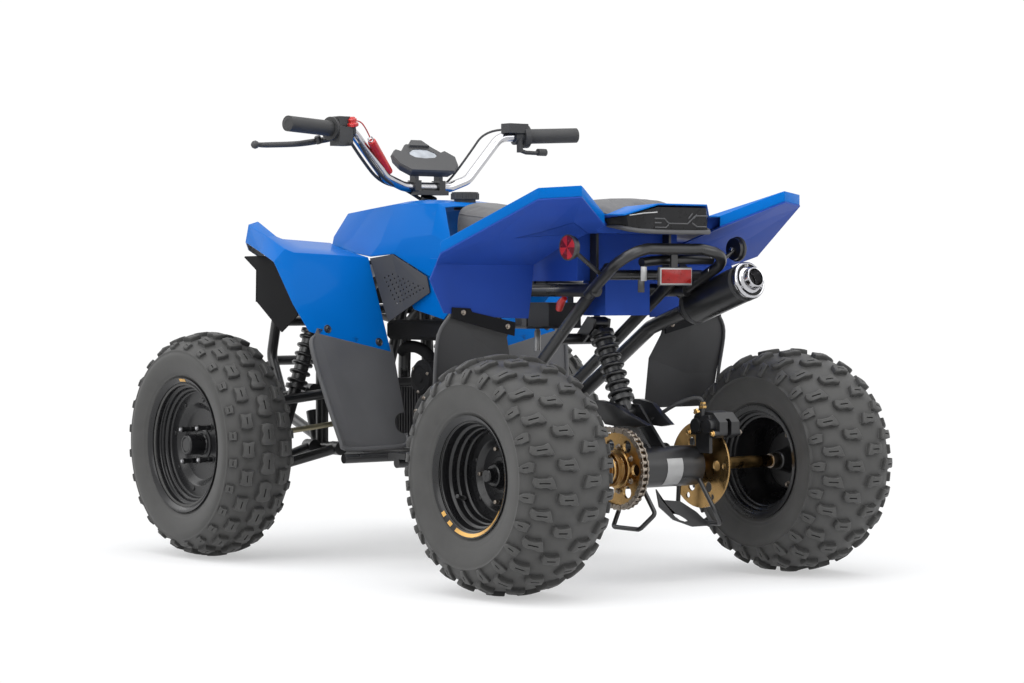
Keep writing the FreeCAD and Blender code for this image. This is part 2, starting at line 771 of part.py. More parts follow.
def swingarm():
    """Two arms from the pivot tube to the axle carrier."""
    z = float(d.rear_tyre_diameter) / 2
    y = float(d.arm_spread)
    pivot = rod(aft(d.pivot_aft, -54.7, d.pivot_z), aft(d.pivot_aft, 54.7, d.pivot_z), d.pivot_diameter)
    arm = rod(aft(d.pivot_aft, y - 9, d.pivot_z), aft(20, y, z + 30), d.arm_diameter)
    brace_z = 0.36 * z + 0.64 * float(d.pivot_z)
    brace = rod(aft(250, -y, brace_z), aft(250, y, brace_z), 24)
    parts = [pivot, brace] + both_sides(arm)
    pin = rod(aft(d.pivot_aft, -100, d.pivot_z), aft(d.pivot_aft, 100, d.pivot_z), 16)
    housing = rod(aft(0, -200, z), aft(0, 200, z), d.carrier_diameter)
    return feature("swingarm", fuse(parts).cut(pin).cut(housing))


def axle_carrier():
    """Bearing housing round the axle with the shock's lower lugs."""
    z = float(d.rear_tyre_diameter) / 2
    low, high = float(d.carrier_right), float(d.carrier_left)
    body = rod(aft(0, low, z), aft(0, high, z), d.carrier_diameter)
    ears = []
    for side in (1, -1):
        low_z = float(d.shock_low_z)
        ears.append(prism([aft(-20, side * 16, z + 30), aft(30, side * 16, z + 8),
                           aft(104, side * 16, low_z - 20), aft(104, side * 16, low_z + 16),
                           aft(66, side * 16, low_z + 16)], Vector(0, side * 6, 0)))
    bore = rod(aft(0, low - 10, z), aft(0, high + 10, z), d.axle_diameter + d.running_gap * 2)
    return feature("axle_carrier", fuse([body] + ears).cut(bore))


node(swingarm())
CARRIER = node(axle_carrier()).Shape
node(chain())


def shock(low, top, spring, wire, pitch, width, seat=0.16):
    """Damper between two eyes; its spring starts at a share of the length."""
    axis = (top - low).normalize()
    length = (top - low).Length
    parts = []
    for end in (low, top):
        parts.append(rod(end - Vector(*width), end + Vector(*width), 26))
    foot, head = length * seat, length - 30
    parts.append(rod(low, low + axis * length * 0.6, float(spring) * 0.6))
    parts.append(rod(low + axis * length * 0.5, top, 14))
    parts.append(rod(low + axis * (foot - 8), low + axis * foot, spring))
    parts.append(rod(low + axis * head, low + axis * (head + 8), spring))
    turns = int((head - foot) / float(pitch))
    step = (head - foot) / turns
    for index in range(turns):
        centre = low + axis * (foot + step * (index + 0.5))
        parts.append(Part.makeTorus(float(spring) / 2 - float(wire) / 2, float(wire) / 2 + 0.5, centre, axis))
    parts.append(rod(low + axis * foot, low + axis * head, float(spring) - float(wire) * 2))
    return fuse(parts)


def rear_shock():
    low = aft(d.shock_low_aft, 0, d.shock_low_z)
    top = aft(d.shock_top_aft, 0, d.shock_top_z)
    return feature("rear_shock", shock(low, top, d.spring_diameter, d.spring_wire, d.spring_pitch, (0, 16, 0)))


def front_shocks():
    low = fwd(-22, 262, 222)
    top = fwd(-22, 165, 505)
    left = shock(low, top, d.front_spring_diameter, d.spring_wire, d.spring_pitch, (10, 0, 0), 0.5)
    return feature("front_shocks", Part.makeCompound(both_sides(left)))


node(rear_shock())
node(front_shocks())


def front_arms(side):
    """Upper and lower wishbones of one side."""
    low_ball = fwd(d.kingpin_low_fwd, d.kingpin_low_y, d.kingpin_low_z)
    top_ball = fwd(d.kingpin_top_fwd, d.kingpin_top_y, d.kingpin_top_z)
    shapes = []
    for ball, height in ((low_ball, d.lower_mount_z), (top_ball, d.upper_mount_z)):
        legs = [rod(fwd(x, d.mount_y, height), ball + Vector(0, -14, 0), d.arm_tube)
                for x in (d.arm_rear_fwd, d.arm_front_fwd)]
        bushes = [rod(fwd(x - 16, d.mount_y, height), fwd(x + 16, d.mount_y, height), d.arm_tube + 8)
                  for x in (d.arm_rear_fwd, d.arm_front_fwd)]
        along = (top_ball - low_ball).normalize()
        ball_end = rod(ball - along * 9, ball + along * 9, 34)
        parts = legs + bushes + [ball_end]
        if height is d.lower_mount_z:
            parts.append(rod(fwd(-60, 262, 202), fwd(12, 262, 202), 14))
        shapes.append(fuse(parts))
    half_ball = along * 9
    pair = Part.makeCompound(shapes).cut(rod(low_ball + half_ball, top_ball - half_ball, 48))
    if side < 0:
        pair = pair.mirror(Vector(0, 0, 0), Vector(0, 1, 0))
    return feature("arms_left" if side > 0 else "arms_right", pair)


node(front_arms(1))
node(front_arms(-1))

# Steering


def kingpin():
    low = fwd(d.kingpin_low_fwd, d.kingpin_low_y, d.kingpin_low_z)
    top = fwd(d.kingpin_top_fwd, d.kingpin_top_y, d.kingpin_top_z)
    return low, top


def knuckle(side):
    """Upright between the two balls, with the wheel spindle and the steering arm."""
    low, top = kingpin()
    axle_z = float(d.front_tyre_diameter) / 2
    axis = (top - low).normalize()
    post = rod(low + axis * 9.3, top - axis * 9.3, 32)
    spindle = rod(fwd(0, d.kingpin_low_y - 6, axle_z), fwd(0, d.front_disc_y + 30, axle_z), d.spindle_diameter)
    boss = rod(fwd(0, d.kingpin_low_y - 14, axle_z), fwd(0, d.kingpin_low_y + 24, axle_z), 56)
    outer = fwd(d.tie_rod_outer_fwd, d.tie_rod_outer_y, d.tie_rod_outer_z) - axis * 18
    arm = rod(low + axis * 74, outer, 18)
    eye = rod(outer - axis * 11, outer + axis * 11, 24)
    shape = fuse([post, spindle, boss, arm, eye])
    if side < 0:
        shape = shape.mirror(Vector(0, 0, 0), Vector(0, 1, 0))
    return feature("knuckle_left" if side > 0 else "knuckle_right", shape)


node(knuckle(1))
node(knuckle(-1))


def steering_column():
    """Tilted shaft with the pitman plate at its foot and the bar clamps at its head."""
    foot, axis, length = column_axis()
    shaft = rod(foot, foot + axis * (length - 18), d.column_diameter)
    rearward = Vector(-axis.z, 0, axis.x)
    reach = rearward * (float(d.pitman_length) + 8)
    plate = prism([foot + Vector(0, 16, 0), foot + Vector(0, -16, 0), foot + reach + Vector(0, -46, 0),
                   foot + reach + Vector(0, 46, 0)], axis * 8)
    boot = rod(foot + axis * (length - 42), foot + axis * (length - 16), 36)
    bridge = block(fwd(d.column_top_fwd - 12, -40, d.column_top_z - 11),
                   fwd(d.column_top_fwd + 16, 40, d.column_top_z - 1))
    clamps = both_sides(block(fwd(-230, 24, d.bar_clamp_z - 10), fwd(-200, 40, d.bar_clamp_z + 14)))
    bar_seat = rod(fwd(-214, -60, d.bar_clamp_z), fwd(-214, 60, d.bar_clamp_z), d.bar_diameter)
    return feature("steering_column", fuse([shaft, plate, boot, bridge] + clamps).cut(bar_seat))


def handlebar():
    """Upswept bar of one tube."""
    half = [fwd(-214, 60, d.bar_clamp_z), fwd(-216, 110, d.bar_clamp_z + 18),
            fwd(-218, d.bar_bend_y, d.bar_grip_z - 8), fwd(-255, d.bar_end_y, d.bar_grip_z)]
    points = [flip(p) for p in reversed(half)] + half
    return feature("handlebar", tube(points, d.bar_diameter, 40))


def grips():
    shapes = []
    end = fwd(-255, d.bar_end_y, d.bar_grip_z)
    bend = fwd(-218, d.bar_bend_y, d.bar_grip_z - 8)
    along = (end - bend).normalize()
    sleeve = rod(end - along * float(d.grip_length), end + along * 4, d.grip_diameter)
    bore = rod(end - along * 200, end, d.bar_diameter)
    shapes = both_sides(sleeve.cut(bore))
    return feature("grips", Part.makeCompound(shapes))


def bar_end():
    """Outer end of the left grip and the bar's direction there."""
    end = fwd(-255, d.bar_end_y, d.bar_grip_z)
    bend = fwd(-218, d.bar_bend_y, d.bar_grip_z - 8)
    return end, (end - bend).normalize()


def switch_housings():
    """Left switch block with its flange, right throttle case with its box."""
    end, along = bar_end()
    start = end - along * (float(d.grip_length) + 1)
    flange = rod(start - along * 6, start, 50)
    left = fuse([flange, rod(start - along * 46, start, 42),
                 block(start + Vector(-24, -44, -36), start + Vector(14, -10, 4)),
                 block(start + Vector(-16, -42, 6), start + Vector(12, -14, 26))])
    right_start = flip(start)
    case = fuse([rod(right_start - flip(along) * 14, right_start, 52),
                 rod(right_start - flip(along) * 34, right_start, 36),
                 block(right_start + Vector(-18, 10, 6), right_start + Vector(14, 62, 27))])
    return feature("switch_housings", Part.makeCompound([left.cut(BAR), case.cut(BAR)]))


def levers():
    """Long brake lever on its perch at the left, short thumb throttle at the right."""
    end, along = bar_end()
    start = end - along * (float(d.grip_length) + 48)
    perch = rod(start - along * 16, start, 34)
    root = start - along * 8 + Vector(15, 0, -6)
    knuckle = rod(root + Vector(10, 4, -16), root + Vector(10, 4, 4), 20)
    tip = root + Vector(36, 200, -28)
    blade = tube([root, root + Vector(26, 22, -10), root + Vector(34, 120, -26), tip], 10, 16)
    ball = Part.makeSphere(8, tip)
    left = fuse([perch, knuckle, blade, ball]).cut(BAR).cut(SWITCHES)
    hub = flip(end - along * (float(d.grip_length) + 12)) + Vector(-8, 0, -31)
    paddle = tube([hub + Vector(0, 14, 0), hub + Vector(-4, 0, -5), hub + Vector(-14, -20, -6),
                   hub + Vector(-16, -42, -4)], 9, 8)
    thumb = rod(hub + Vector(-16, -24, -4), hub + Vector(-16, -46, -4), 16)
    post = rod(hub + Vector(0, 14, -5), hub + Vector(0, 14, 26), 14)
    right = fuse([paddle, thumb, post]).cut(BAR).cut(SWITCHES)
    return feature("levers", Part.makeCompound([left, right]))


def pod_plane():
    """Low corner of the pod's face, its direction up the face and its normal."""
    up = Vector(math.cos(math.radians(42)), 0, math.sin(math.radians(42)))
    return aft(736, 0, 831), up, Vector(-up.z, 0, up.x)


def pod_ring(outline, lift, scale=1.0):
    """Closed wire of (across, up the face) points, lifted off the face."""
    base, up, out = pod_plane()
    middle = 42
    corners = [base + up * (middle + (v - middle) * scale) + Vector(0, u * scale, 0) + out * lift
               for u, v in outline]
    return Part.makePolygon(corners + [corners[0]])


def lens_outline(shrink=0.0):
    """Wide display outline, its top edge bowed."""
    half = [(0, 74), (20, 72), (34, 62), (36, 54), (26, 46), (0, 43)]
    corners = half + [(-u, v) for u, v in reversed(half[1:-1])]
    return [(u * (1 - shrink), 58 + (v - 58) * (1 - shrink)) for u, v in corners]


def gauge_pod():
    """Eared instrument hood with a sunk display, on two posts astride the bar."""
    reach = float(d.pod_width) / 2
    half = [(30, 92), (54, 66), (68, 72), (reach, 52), (reach - 7, 24), (58, 2)]
    outline = half + [(-u, v) for u, v in reversed(half)]
    depth = float(d.pod_depth)
    rings = [pod_ring(outline, -depth, 0.86), pod_ring(outline, -5), pod_ring(outline, 0, 0.96)]
    hood = Part.makeLoft(rings, True, True)
    brow = Part.makeLoft([pod_ring([(22, 92), (30, 76), (-30, 76), (-22, 92)], -depth, 1.0),
                          pod_ring([(14, 98), (26, 80), (-26, 80), (-14, 98)], 6, 1.0)], True, True)
    window = Part.Face(pod_ring(lens_outline(), -4)).extrude(pod_plane()[2] * 12)
    posts = [block(fwd(-224, y - 5, 806), fwd(-204, y + 5, 846)) for y in (-32, 32)]
    shape = fuse([hood, brow] + posts).cut(window).cut(BAR).cut(COLUMN)
    return feature("gauge_pod", Part.makeCompound(shape.Solids))


def display():
    """Clear lens in the pod's window."""
    lens = Part.Face(pod_ring(lens_outline(0.01), -4)).extrude(pod_plane()[2] * 3)
    return feature("display", Part.makeCompound([lens]))


def kill_key():
    """Red cap of the stop switch on its stub, left of the pod."""
    foot, top = aft(733, 213, 905), aft(729, 219, 937)
    up = (top - foot).normalize()
    stub = rod(foot, top - up * 12, 12)
    cap = fuse([rod(top - up * 14, top - up * 2, 19), rod(top - up * 18, top - up * 10, 25),
                rod(top - up * 6, top + up * 3, 12)])
    return feature("kill_key", fuse([stub, cap]).cut(BAR).cut(SWITCHES))


def lanyard():
    """Coiled lanyard clipped along the bar, with its ring and the cord's loop up to the key."""
    low, high = aft(770, 96, 826), aft(744, 160, 892)
    along = (high - low).normalize()
    coil = rod(low, high, d.lanyard_diameter)
    ring = Part.makeTorus(6, 1.6, high + along * 6, Vector(1, 0, 0))
    cord = tube([high + along * 11, aft(738, 178, 918), aft(730, 200, 934), aft(729, 219, 932)], 3, 6)
    return feature("lanyard", fuse([coil, ring, cord]).cut(KILL_KEY).cut(BAR))


def control_cables():
    """Brake hose and switch loom down the left of the bar, throttle cable down the right."""
    wide = float(d.cable_diameter)
    hose = tube([aft(716, 232, 886), aft(735, 190, 850), aft(772, 120, 806), aft(782, 50, 794),
                 aft(777, 18, 777), aft(767, 8, 767)], wide, 10)
    loom = tube([aft(700, 220, 884), aft(724, 176, 842), aft(758, 104, 802), aft(776, 44, 789),
                 aft(770, 20, 774), aft(762, 12, 767)], wide, 10)
    throttle = tube([aft(730, -176, 926), aft(742, -140, 922), aft(756, -112, 876), aft(780, -72, 812),
                     aft(786, -40, 791), aft(779, -16, 777), aft(768, -8, 767)], wide - 2, 10)
    cables = [cable.cut(COLUMN).cut(BAR).cut(SWITCHES) for cable in (hose, loom, throttle)]
    return feature("control_cables", Part.makeCompound(cables))


COLUMN = node(steering_column()).Shape
BAR = node(handlebar()).Shape
node(grips())
SWITCHES = node(switch_housings()).Shape
node(levers())
node(gauge_pod())
node(display())
KILL_KEY = node(kill_key()).Shape
node(lanyard())
node(control_cables())


def tie_rod(side):
    """Rod from the steering arm to just short of the pitman plate."""
    foot, axis, _ = column_axis()
    rearward = Vector(-axis.z, 0, axis.x)
    inner = foot + rearward * float(d.pitman_length) + Vector(0, 34, 0) - axis * (float(d.ball_clearance) + 9)
    outer = fwd(d.tie_rod_outer_fwd, d.tie_rod_outer_y, d.tie_rod_outer_z)
    low, top = kingpin()
    pin = (top - low).normalize()
    parts = [rod(outer, inner, d.tie_rod_diameter),
             rod(outer - pin * (7 - float(d.joint_gap)), outer + pin * 8, 22),
             rod(inner - axis * 8, inner + axis * 8, 22)]
    shape = fuse(parts)
    if side < 0:
        shape = shape.mirror(Vector(0, 0, 0), Vector(0, 1, 0))
    return feature("tie_rod_left" if side > 0 else "tie_rod_right", shape)


node(tie_rod(1))
node(tie_rod(-1))

# Engine and exhaust


def engine():
    """Horizontal single: cases, finned cylinder and head, magneto cover."""
    cases = block(aft(480, -88, 236), aft(668, 68, 352))
    gearbox = rod(aft(512, -80, 301), aft(512, 68, 301), 130)
    crank = rod(aft(600, -88, 302), aft(600, 68, 302), 132)
    cover = rod(aft(604, 68, 296), aft(604, 104, 296), 120)
    shaft = rod(aft(d.front_sprocket_aft, 60, d.front_sprocket_z),
                aft(d.front_sprocket_aft, 92, d.front_sprocket_z), 22)
    cylinder = block(aft(660, -50, 262), aft(800, 50, 352))
    fins = [block(aft(x, -62, 250), aft(x + 3.5, 62, 364)) for x in range(690, 782, 10)]
    head = block(aft(800, -54, 256), aft(838, 54, 358))
    return feature("engine", fuse([cases, gearbox, crank, cover, shaft, cylinder, head] + fins))


node(engine())


def exhaust_pipe():
    """Header from the exhaust port, low past the engine and up to the silencer."""
    start, _, axis = muffler_axis()
    neck = start - axis * 30
    route = [aft(819, -54, 300), aft(819, -92, 300), aft(790, -128, 292), aft(600, -134, 290), aft(430, -146, 340),
             neck - axis * 110, neck]
    return feature("exhaust_pipe", tube(route, 30, 32))


def muffler_axis():
    """Front and rear ends of the silencer's barrel and its direction rearward."""
    start, end = aft(66, d.muffler_y, 540), aft(-98, d.muffler_y, 593)
    return start, end, (end - start).normalize()


def muffler():
    """Black barrel with a tapered neck and a hanger tab up to the grab loop."""
    start, end, axis = muffler_axis()
    radius = float(d.muffler_diameter) / 2
    body = rod(start, end, d.muffler_diameter)
    neck = Part.makeCone(15, radius, 30, start - axis * 30, axis)
    strap = block(aft(-6, -137, 576), aft(16, -131, 598))
    return feature("muffler", fuse([body, neck, strap]).cut(REAR_LOOP))


def muffler_tip():
    """Chromed end cap: outer ring, dished face and the outlet pipe."""
    start, end, axis = muffler_axis()
    radius = float(d.muffler_diameter) / 2
    profile = [(0, 0), (radius, 0), (radius, 8), (radius - 3, 12), (radius - 8, 12), (radius - 12, 7),
               (22, 9), (19, 24), (15, 24), (14, 3), (0, 3)]
    corners = [Vector(r, 0, along) for r, along in profile]
    cap = Part.Face(Part.makePolygon(corners + [corners[0]])).revolve(Vector(), Vector(0, 0, 1), 360)
    cap.Placement = Placement(end, Rotation(Vector(0, 0, 1), axis))
    return feature("muffler_tip", Part.makeCompound([cap]))


node(exhaust_pipe())
node(muffler())
node(muffler_tip())

# Bodywork


def seat():
    """Long seat, crowned, narrow at the tank."""
    sections = []
    base = float(d.deck_z) + 0.3
    stations = ((14, 96, 742), (60, 120, 756), (200, 122, 744), (360, 104, 738), (480, 84, 748), (575, 70, 758))
    for x, half, top in stations:
        ring = [aft(x, -half, base), aft(x, -half * 0.98, top - 16), aft(x, -half * 0.6, top - 2),
                aft(x, half * 0.6, top - 2), aft(x, half * 0.98, top - 16), aft(x, half, base)]
        sections.append(Part.makePolygon(ring + [ring[0]]))
    return feature("seat", Part.makeLoft(sections, True, True))


def wing_edge():
    """Left edge of the rear fender from the tank's foot round to the tail: upper corners of the lip."""
    return [aft(332, 170, 684), aft(246, 292, 674), aft(148, d.wing_tip_y, 667), aft(-60, 333, 766),
            aft(-96, 258, 771), aft(-28, 147, 721)]


def rear_fender():
    """Upper skin of the rear fenders with their turned lip, flat under the seat and stepped up at the tail."""
    lip = Vector(0, 0, float(d.lip_height))
    width = float(d.tub_half_width)
    deck = float(d.deck_z)
    roots = [(332, deck), (246, deck), (148, deck), (12.6, deck), (9, deck + 28), (-42, deck + 33)]
    middles = [(332, 85, deck), (246, 85, deck), (148, 85, deck), (12.6, 85, deck), (9, 66, deck + 49),
               (-88, 61, deck + 53)]
    left = []
    for edge, (x, z), middle in zip(wing_edge(), roots, middles):
        half = width if x > 0 else width - 21
        left.append([edge - lip, edge, aft(x, half, z), aft(*middle)])
    grid = [row + [flip(p) for p in reversed(row)] for row in left]
    return feature("rear_fender", panel(grid, d.panel_wall))


def inner_fender():
    """Wheel side of the rear fenders: upright wall ahead of the tyre, then the arch rising to the lip."""
    lip = Vector(0, 0, float(d.lip_height))
    _, _, tip, corner, rear, tail = wing_edge()
    x, crease = float(d.flank_x), float(d.flank_crease_z)
    wall = [[aft(x, 158, 518), aft(x, 222, 520), aft(x, 300, 525), aft(x, 363, 530)],
            [aft(x, 150, 570), aft(x, 232, 575), aft(x, 318, 582), aft(x, 397, 595)],
            [aft(x, 144, crease), aft(x, 223, crease), aft(x, 302, crease), aft(x, 381, crease)]]
    rise = [aft(90, 148, 668), aft(46, 238, 690), aft(74, 322, 684), aft(174, 395, 636)]
    top = [tail - lip, rear - lip, corner - lip, tip - lip]
    left = panel(wall + [rise, top], -d.panel_wall)
    pair = Part.makeCompound(both_sides(left))
    return feature("inner_fender", pair.cut(REAR_FENDER))


def rear_panel():
    """Tub under the seat, with the tool box that hangs ahead of the shock."""
    width, wall = float(d.tub_half_width), float(d.panel_wall)
    high = float(d.deck_z) - wall
    sides = both_sides(block(aft(80, width - wall, 592), aft(332, width, high)))
    back = block(aft(80, -width, 592), aft(80 + wall, width, high))
    box = block(aft(80, -57, 524), aft(150, 57, 600)).cut(block(aft(80 + wall, -57 + wall, 524 + wall),
                                                           aft(150 - wall, 57 - wall, 620)))
    return feature("rear_panel", fuse(sides + [back, box]).cut(FRAME_UPPER).cut(REAR_FENDER))


def tank_cover():
    """Faceted cover over the tank, open below, with its skirts and a hole for the steering shaft."""
    rows = [[fwd(-49, 138, 668), fwd(-39, 119, 718), fwd(-58, 96, 742), fwd(-64, 44, 748)],
            [fwd(-140, 150, 655), fwd(-145, 128, 720), fwd(-156, 104, 750), fwd(-160, 48, 757)],
            [fwd(-228, 158, 645), fwd(-245, 121, 700), fwd(-245, 100, 758), fwd(-245, 50, 765)],
            [fwd(-288, 139, 650), fwd(-300, 119, 700), fwd(-310, 97, 758), fwd(-310, 50, 766)],
            [fwd(-389, 121, 603), fwd(-392, 113, 690), fwd(-386, 90, 757), fwd(-384, 46, 759)],
            [fwd(-470, 118, 600), fwd(-455, 108, 668), fwd(-402, 84, 749), fwd(-400, 40, 751)]]
    grid = [row + [flip(p) for p in reversed(row)] for row in rows]
    foot, axis, length = column_axis()
    well = rod(foot, foot + axis * length, d.column_diameter + 26)
    neck = rod(aft(624, 0, 700), aft(624, 0, 800), d.fuel_cap_diameter - 12)
    cover = panel(grid, d.panel_wall).cut(well).cut(neck)
    skirt = prism([fwd(-290, 115, 585), fwd(-333, 115, 532), fwd(-440, 115, 512), fwd(-500, 115, 560),
                   fwd(-500, 115, 640), fwd(-392, 115, 640)], Vector(0, 3, 0))
    boss = rod(fwd(-404, float(d.seat_rail_y) + 4, 602), fwd(-404, 117, 602), 16)
    return feature("tank_cover", fuse([cover] + both_sides(skirt) + both_sides(boss)).cut(FRAME_UPPER))


def fuel_cap():
    """Ribbed cap on its filler neck."""
    radius = float(d.fuel_cap_diameter) / 2
    neck = rod(aft(624, 0, 744), aft(624, 0, 760), radius * 2 - 12.6)
    cap = rod(aft(624, 0, 766.4), aft(624, 0, 782), radius * 2 - 3)
    ribs = []
    for index in range(14):
        angle = 2 * math.pi * index / 14
        centre = aft(624, 0, 766.4) + Vector(math.cos(angle), math.sin(angle), 0) * (radius - 2)
        ribs.append(rod(centre, centre + Vector(0, 0, 13), 5))
    stem = rod(aft(624, 0, 759), aft(624, 0, 767), radius * 2 - 14)
    return feature("fuel_cap", fuse([neck, stem, cap] + ribs))


def knee_panels():
    """Grey side panels between the tank cover and the footwell, with rows of dimples' holes."""
    grid = [[fwd(-230, 158, 641), fwd(-276, 142, 505)],
            [fwd(-288, 140, 649), fwd(-320, 131, 530)],
            [fwd(-389, 122, 601), fwd(-398, 121, 568)]]
    left = panel(grid, d.panel_wall)
    holes = []
    for row in range(7):
        for column in range(9 - row):
            x = -300 - column * 10 + row * 5
            z = 545 + row * 9 + column * 4
            holes.append(rod(fwd(x, 100, z), fwd(x, 190, z), 4))
    return feature("knee_panels", Part.makeCompound(both_sides(left.cut(Part.makeCompound(holes)))))


def front_fender():
    """Footwell wall and wing over the front wheel: outer lip, bevel and deck."""
    rows = [
        [fwd(-267, 338, 487), fwd(-268, 326, 483), fwd(-269, 313, 480), fwd(-274, 225, 460), fwd(-279, 138, 440)],
        [fwd(-253, 368, 543), fwd(-249, 352, 552), fwd(-251, 331, 551), fwd(-252, 240, 546), fwd(-253, 150, 541)],
        [fwd(-231, 402, 633), fwd(-224, 372, 660), fwd(-226, 349, 652), fwd(-227, 250, 648), fwd(-228, 162, 643)],
        [fwd(-140, 380, 654), fwd(-137, 362, 688), fwd(-138, 338, 687), fwd(-132, 270, 666), fwd(-130, 158, 660)],
        [fwd(-46, 358, 675), fwd(-46, 350, 714), fwd(-46, 326, 721), fwd(-70, 290, 684), fwd(-60, 148, 676)],
        [fwd(60, 286, 660), fwd(60, 280, 696), fwd(60, 262, 700), fwd(50, 236, 680), fwd(50, 120, 676)],
        [fwd(176, 176, 640), fwd(176, 172, 664), fwd(174, 160, 668), fwd(170, 130, 664), fwd(170, 70, 664)]]
    left = panel(rows, d.panel_wall).cut(TANK_COVER).cut(KNEE_PANELS)
    return feature("front_fender", Part.makeCompound(both_sides(left)))


def leg_shields():
    """Grey lower footwell walls, lapped behind the blue ones."""
    grid = [[fwd(-275, 342, 456), fwd(-328, 303, 260), fwd(-330, 300, 242)],
            [fwd(-266, 318, 494), fwd(-327, 270, 258), fwd(-330, 270, 238)],
            [fwd(-271, 228, 474), fwd(-324, 200, 258), fwd(-330, 200, 238)],
            [fwd(-275.5, 134, 456), fwd(-322, 124, 266), fwd(-328, 134, 242)]]
    left = panel(grid, -d.panel_wall).cut(FRONT_FENDER)
    notch = rod(fwd(-420, 134, 290), fwd(-220, 131, 291), 44)
    return feature("leg_shields", Part.makeCompound(both_sides(left.cut(notch))))


def heel_guards():
    """Plates between the rear tyres and the rider's heels, bolted to the fender wall."""
    tyre_front = float(d.rear_tyre_diameter) / 2
    near, low = max(210, tyre_front - 18), max(228, tyre_front)
    foot = low + 8
    grid = [[aft(d.flank_x, 342, 537), aft(near, 371, 487), aft(low, 366, 400), aft(foot, 360, 330)],
            [aft(d.flank_x, 270, 524), aft(near + 2, 280, 480), aft(low, 280, 400), aft(foot, 280, 330)],
            [aft(d.flank_x, 200, 506), aft(near + 2, 200, 480), aft(low - 2, 180, 433), aft(foot, 176, 330)]]
    left = panel(grid, -d.panel_wall).cut(INNER_FENDER)
    return feature("heel_guards", Part.makeCompound(both_sides(left)))


def front_nose():
    """Black nose: side panels inside the wheel arches, joined by the lamp face."""
    side = [fwd(172, 222, 648), fwd(120, 222, 618), fwd(122, 222, 546), fwd(20, 222, 480), fwd(-44, 222, 517),
            fwd(-40, 222, 650)]
    sides = both_sides(prism(side, Vector(0, 3, 0)))
    face = panel([[fwd(172, 225, 648), fwd(196, 120, 640), fwd(204, 0, 640)],
                  [fwd(120, 225, 618), fwd(188, 120, 600), fwd(200, 0, 596)],
                  [fwd(122, 225, 546), fwd(170, 120, 540), fwd(184, 0, 536)]], d.panel_wall)
    faces = both_sides(face)
    return feature("front_nose", fuse(sides + faces).cut(FRONT_FENDER).cut(BUMPER).cut(FRAME_FRONT))


def headlights():
    """Two round lamps let into the nose."""
    lamp = rod(fwd(176, 118, 596), fwd(197, 121, 598), 70)
    return feature("headlights", Part.makeCompound(both_sides(lamp.cut(FRONT_NOSE))))


def footrests():
    """Footwell bars under the leg shields and the pegs, each from its lower rail."""
    y, z = float(d.rail_y), float(d.rail_z)
    bar = rod(fwd(-332, y, z), fwd(-332, 296, z), 20)
    peg = rod(aft(470, y, z), aft(470, 286, z), 20)
    tread = block(aft(440, 190, z + 8), aft(500, 286, z + 20))
    slots = [block(aft(446, 196 + 16 * k, z + 12), aft(494, 204 + 16 * k, z + 40)) for k in range(6)]
    peg_left = fuse([peg, tread]).cut(Part.makeCompound(slots))
    shapes = both_sides(bar) + both_sides(peg_left)
    return feature("footrests", Part.makeCompound(shapes).cut(FRAME_LOWER))


def tail_lamp():
    """Black lamp housing under the tail trim."""
    rear = [aft(-84, 61, 734), aft(-78, 70, 690), aft(-78, -70, 690), aft(-84, -61, 734)]
    front = [aft(5, 122, 712), aft(5, 110, 696), aft(5, -110, 696), aft(5, -122, 712)]
    waist = [aft(-42, 104, 718), aft(-42, 100, 696), aft(-42, -100, 696), aft(-42, -104, 718)]
    wires = [Part.makePolygon(ring + [ring[0]]) for ring in (rear, waist, front)]
    return feature("tail_lamp", Part.makeLoft(wires, True, True).cut(REAR_FENDER).cut(REAR_LOOP))


def reflectors():
    """Round side reflectors on the grab loop's brackets and the oblong one hung below the loop."""
    disc = rod(aft(-3, 213, 656), aft(-3, 221, 656), d.side_reflector_diameter)
    oblong = block(aft(-68, -30, 590), aft(-62, 30, 617))
    return feature("reflectors", Part.makeCompound(both_sides(disc) + [oblong]))


def battery_box():
    """Battery in its tray between the seat rails."""
    case = block(aft(280, -42, 500), aft(392, 42, 548))
    tray = block(aft(272, -104, 496), aft(400, 104, 500))
    return feature("battery_box", fuse([case, tray]).cut(REAR_LOOP))


def brake_caliper():
    """Caliper over the rear edge of the disc, on a lug of the axle carrier."""
    z = float(d.rear_tyre_diameter) / 2
    y = float(d.disc_y)
    profile = [(-86, 66), (-72, 56), (-14, 60), (-4, 76), (-10, 98), (-34, 108), (-66, 106), (-86, 88)]
    body = prism([aft(x, y - 26, z + up) for x, up in profile], Vector(0, 52, 0))
    bridge = prism([aft(x, y - 34, z + up) for x, up in ((-66, 88), (-24, 90), (-24, 100), (-62, 101))],
                   Vector(0, 68, 0))
    slot = block(aft(-120, y - 5, 0), aft(60, y + 5, z + 94))
    pistons = [rod(aft(x, y + 20, z + 80), aft(x, y + 40, z + 80), 28) for x in (-62, -28)]
    pistons += [rod(aft(x, y - 34, z + 78), aft(x, y - 20, z + 78), 24) for x in (-62, -28)]
    guide_pins = [rod(aft(x, y - 30, z + 66), aft(x, y + 38, z + 66), 11) for x in (-80, -10)]
    inlet = rod(aft(-40, y + 30, z + 98), aft(-40, y + 30, z + 122), 12)
    lug = block(aft(-60, y + 22, z + 26), aft(-20, y + 30, z + 74))
    caliper = fuse([body, bridge, lug, inlet] + pistons + guide_pins)
    return feature("brake_caliper", caliper.cut(slot).cut(CARRIER))


def brake_hose():
    """Hose from the caliper's inlet, looped forward to the swingarm's tube."""
    z, y = float(d.rear_tyre_diameter) / 2, float(d.disc_y)
    inlet = aft(-40, y + 30, z + 122.3)
    route = [inlet, inlet + Vector(0, 0, 16), aft(-10, y + 62, z + 128), aft(46, y + 84, z + 92),
             aft(110, y + 90, z + 60)]
    return feature("brake_hose", tube(route, 8, 13).cut(CARRIER))


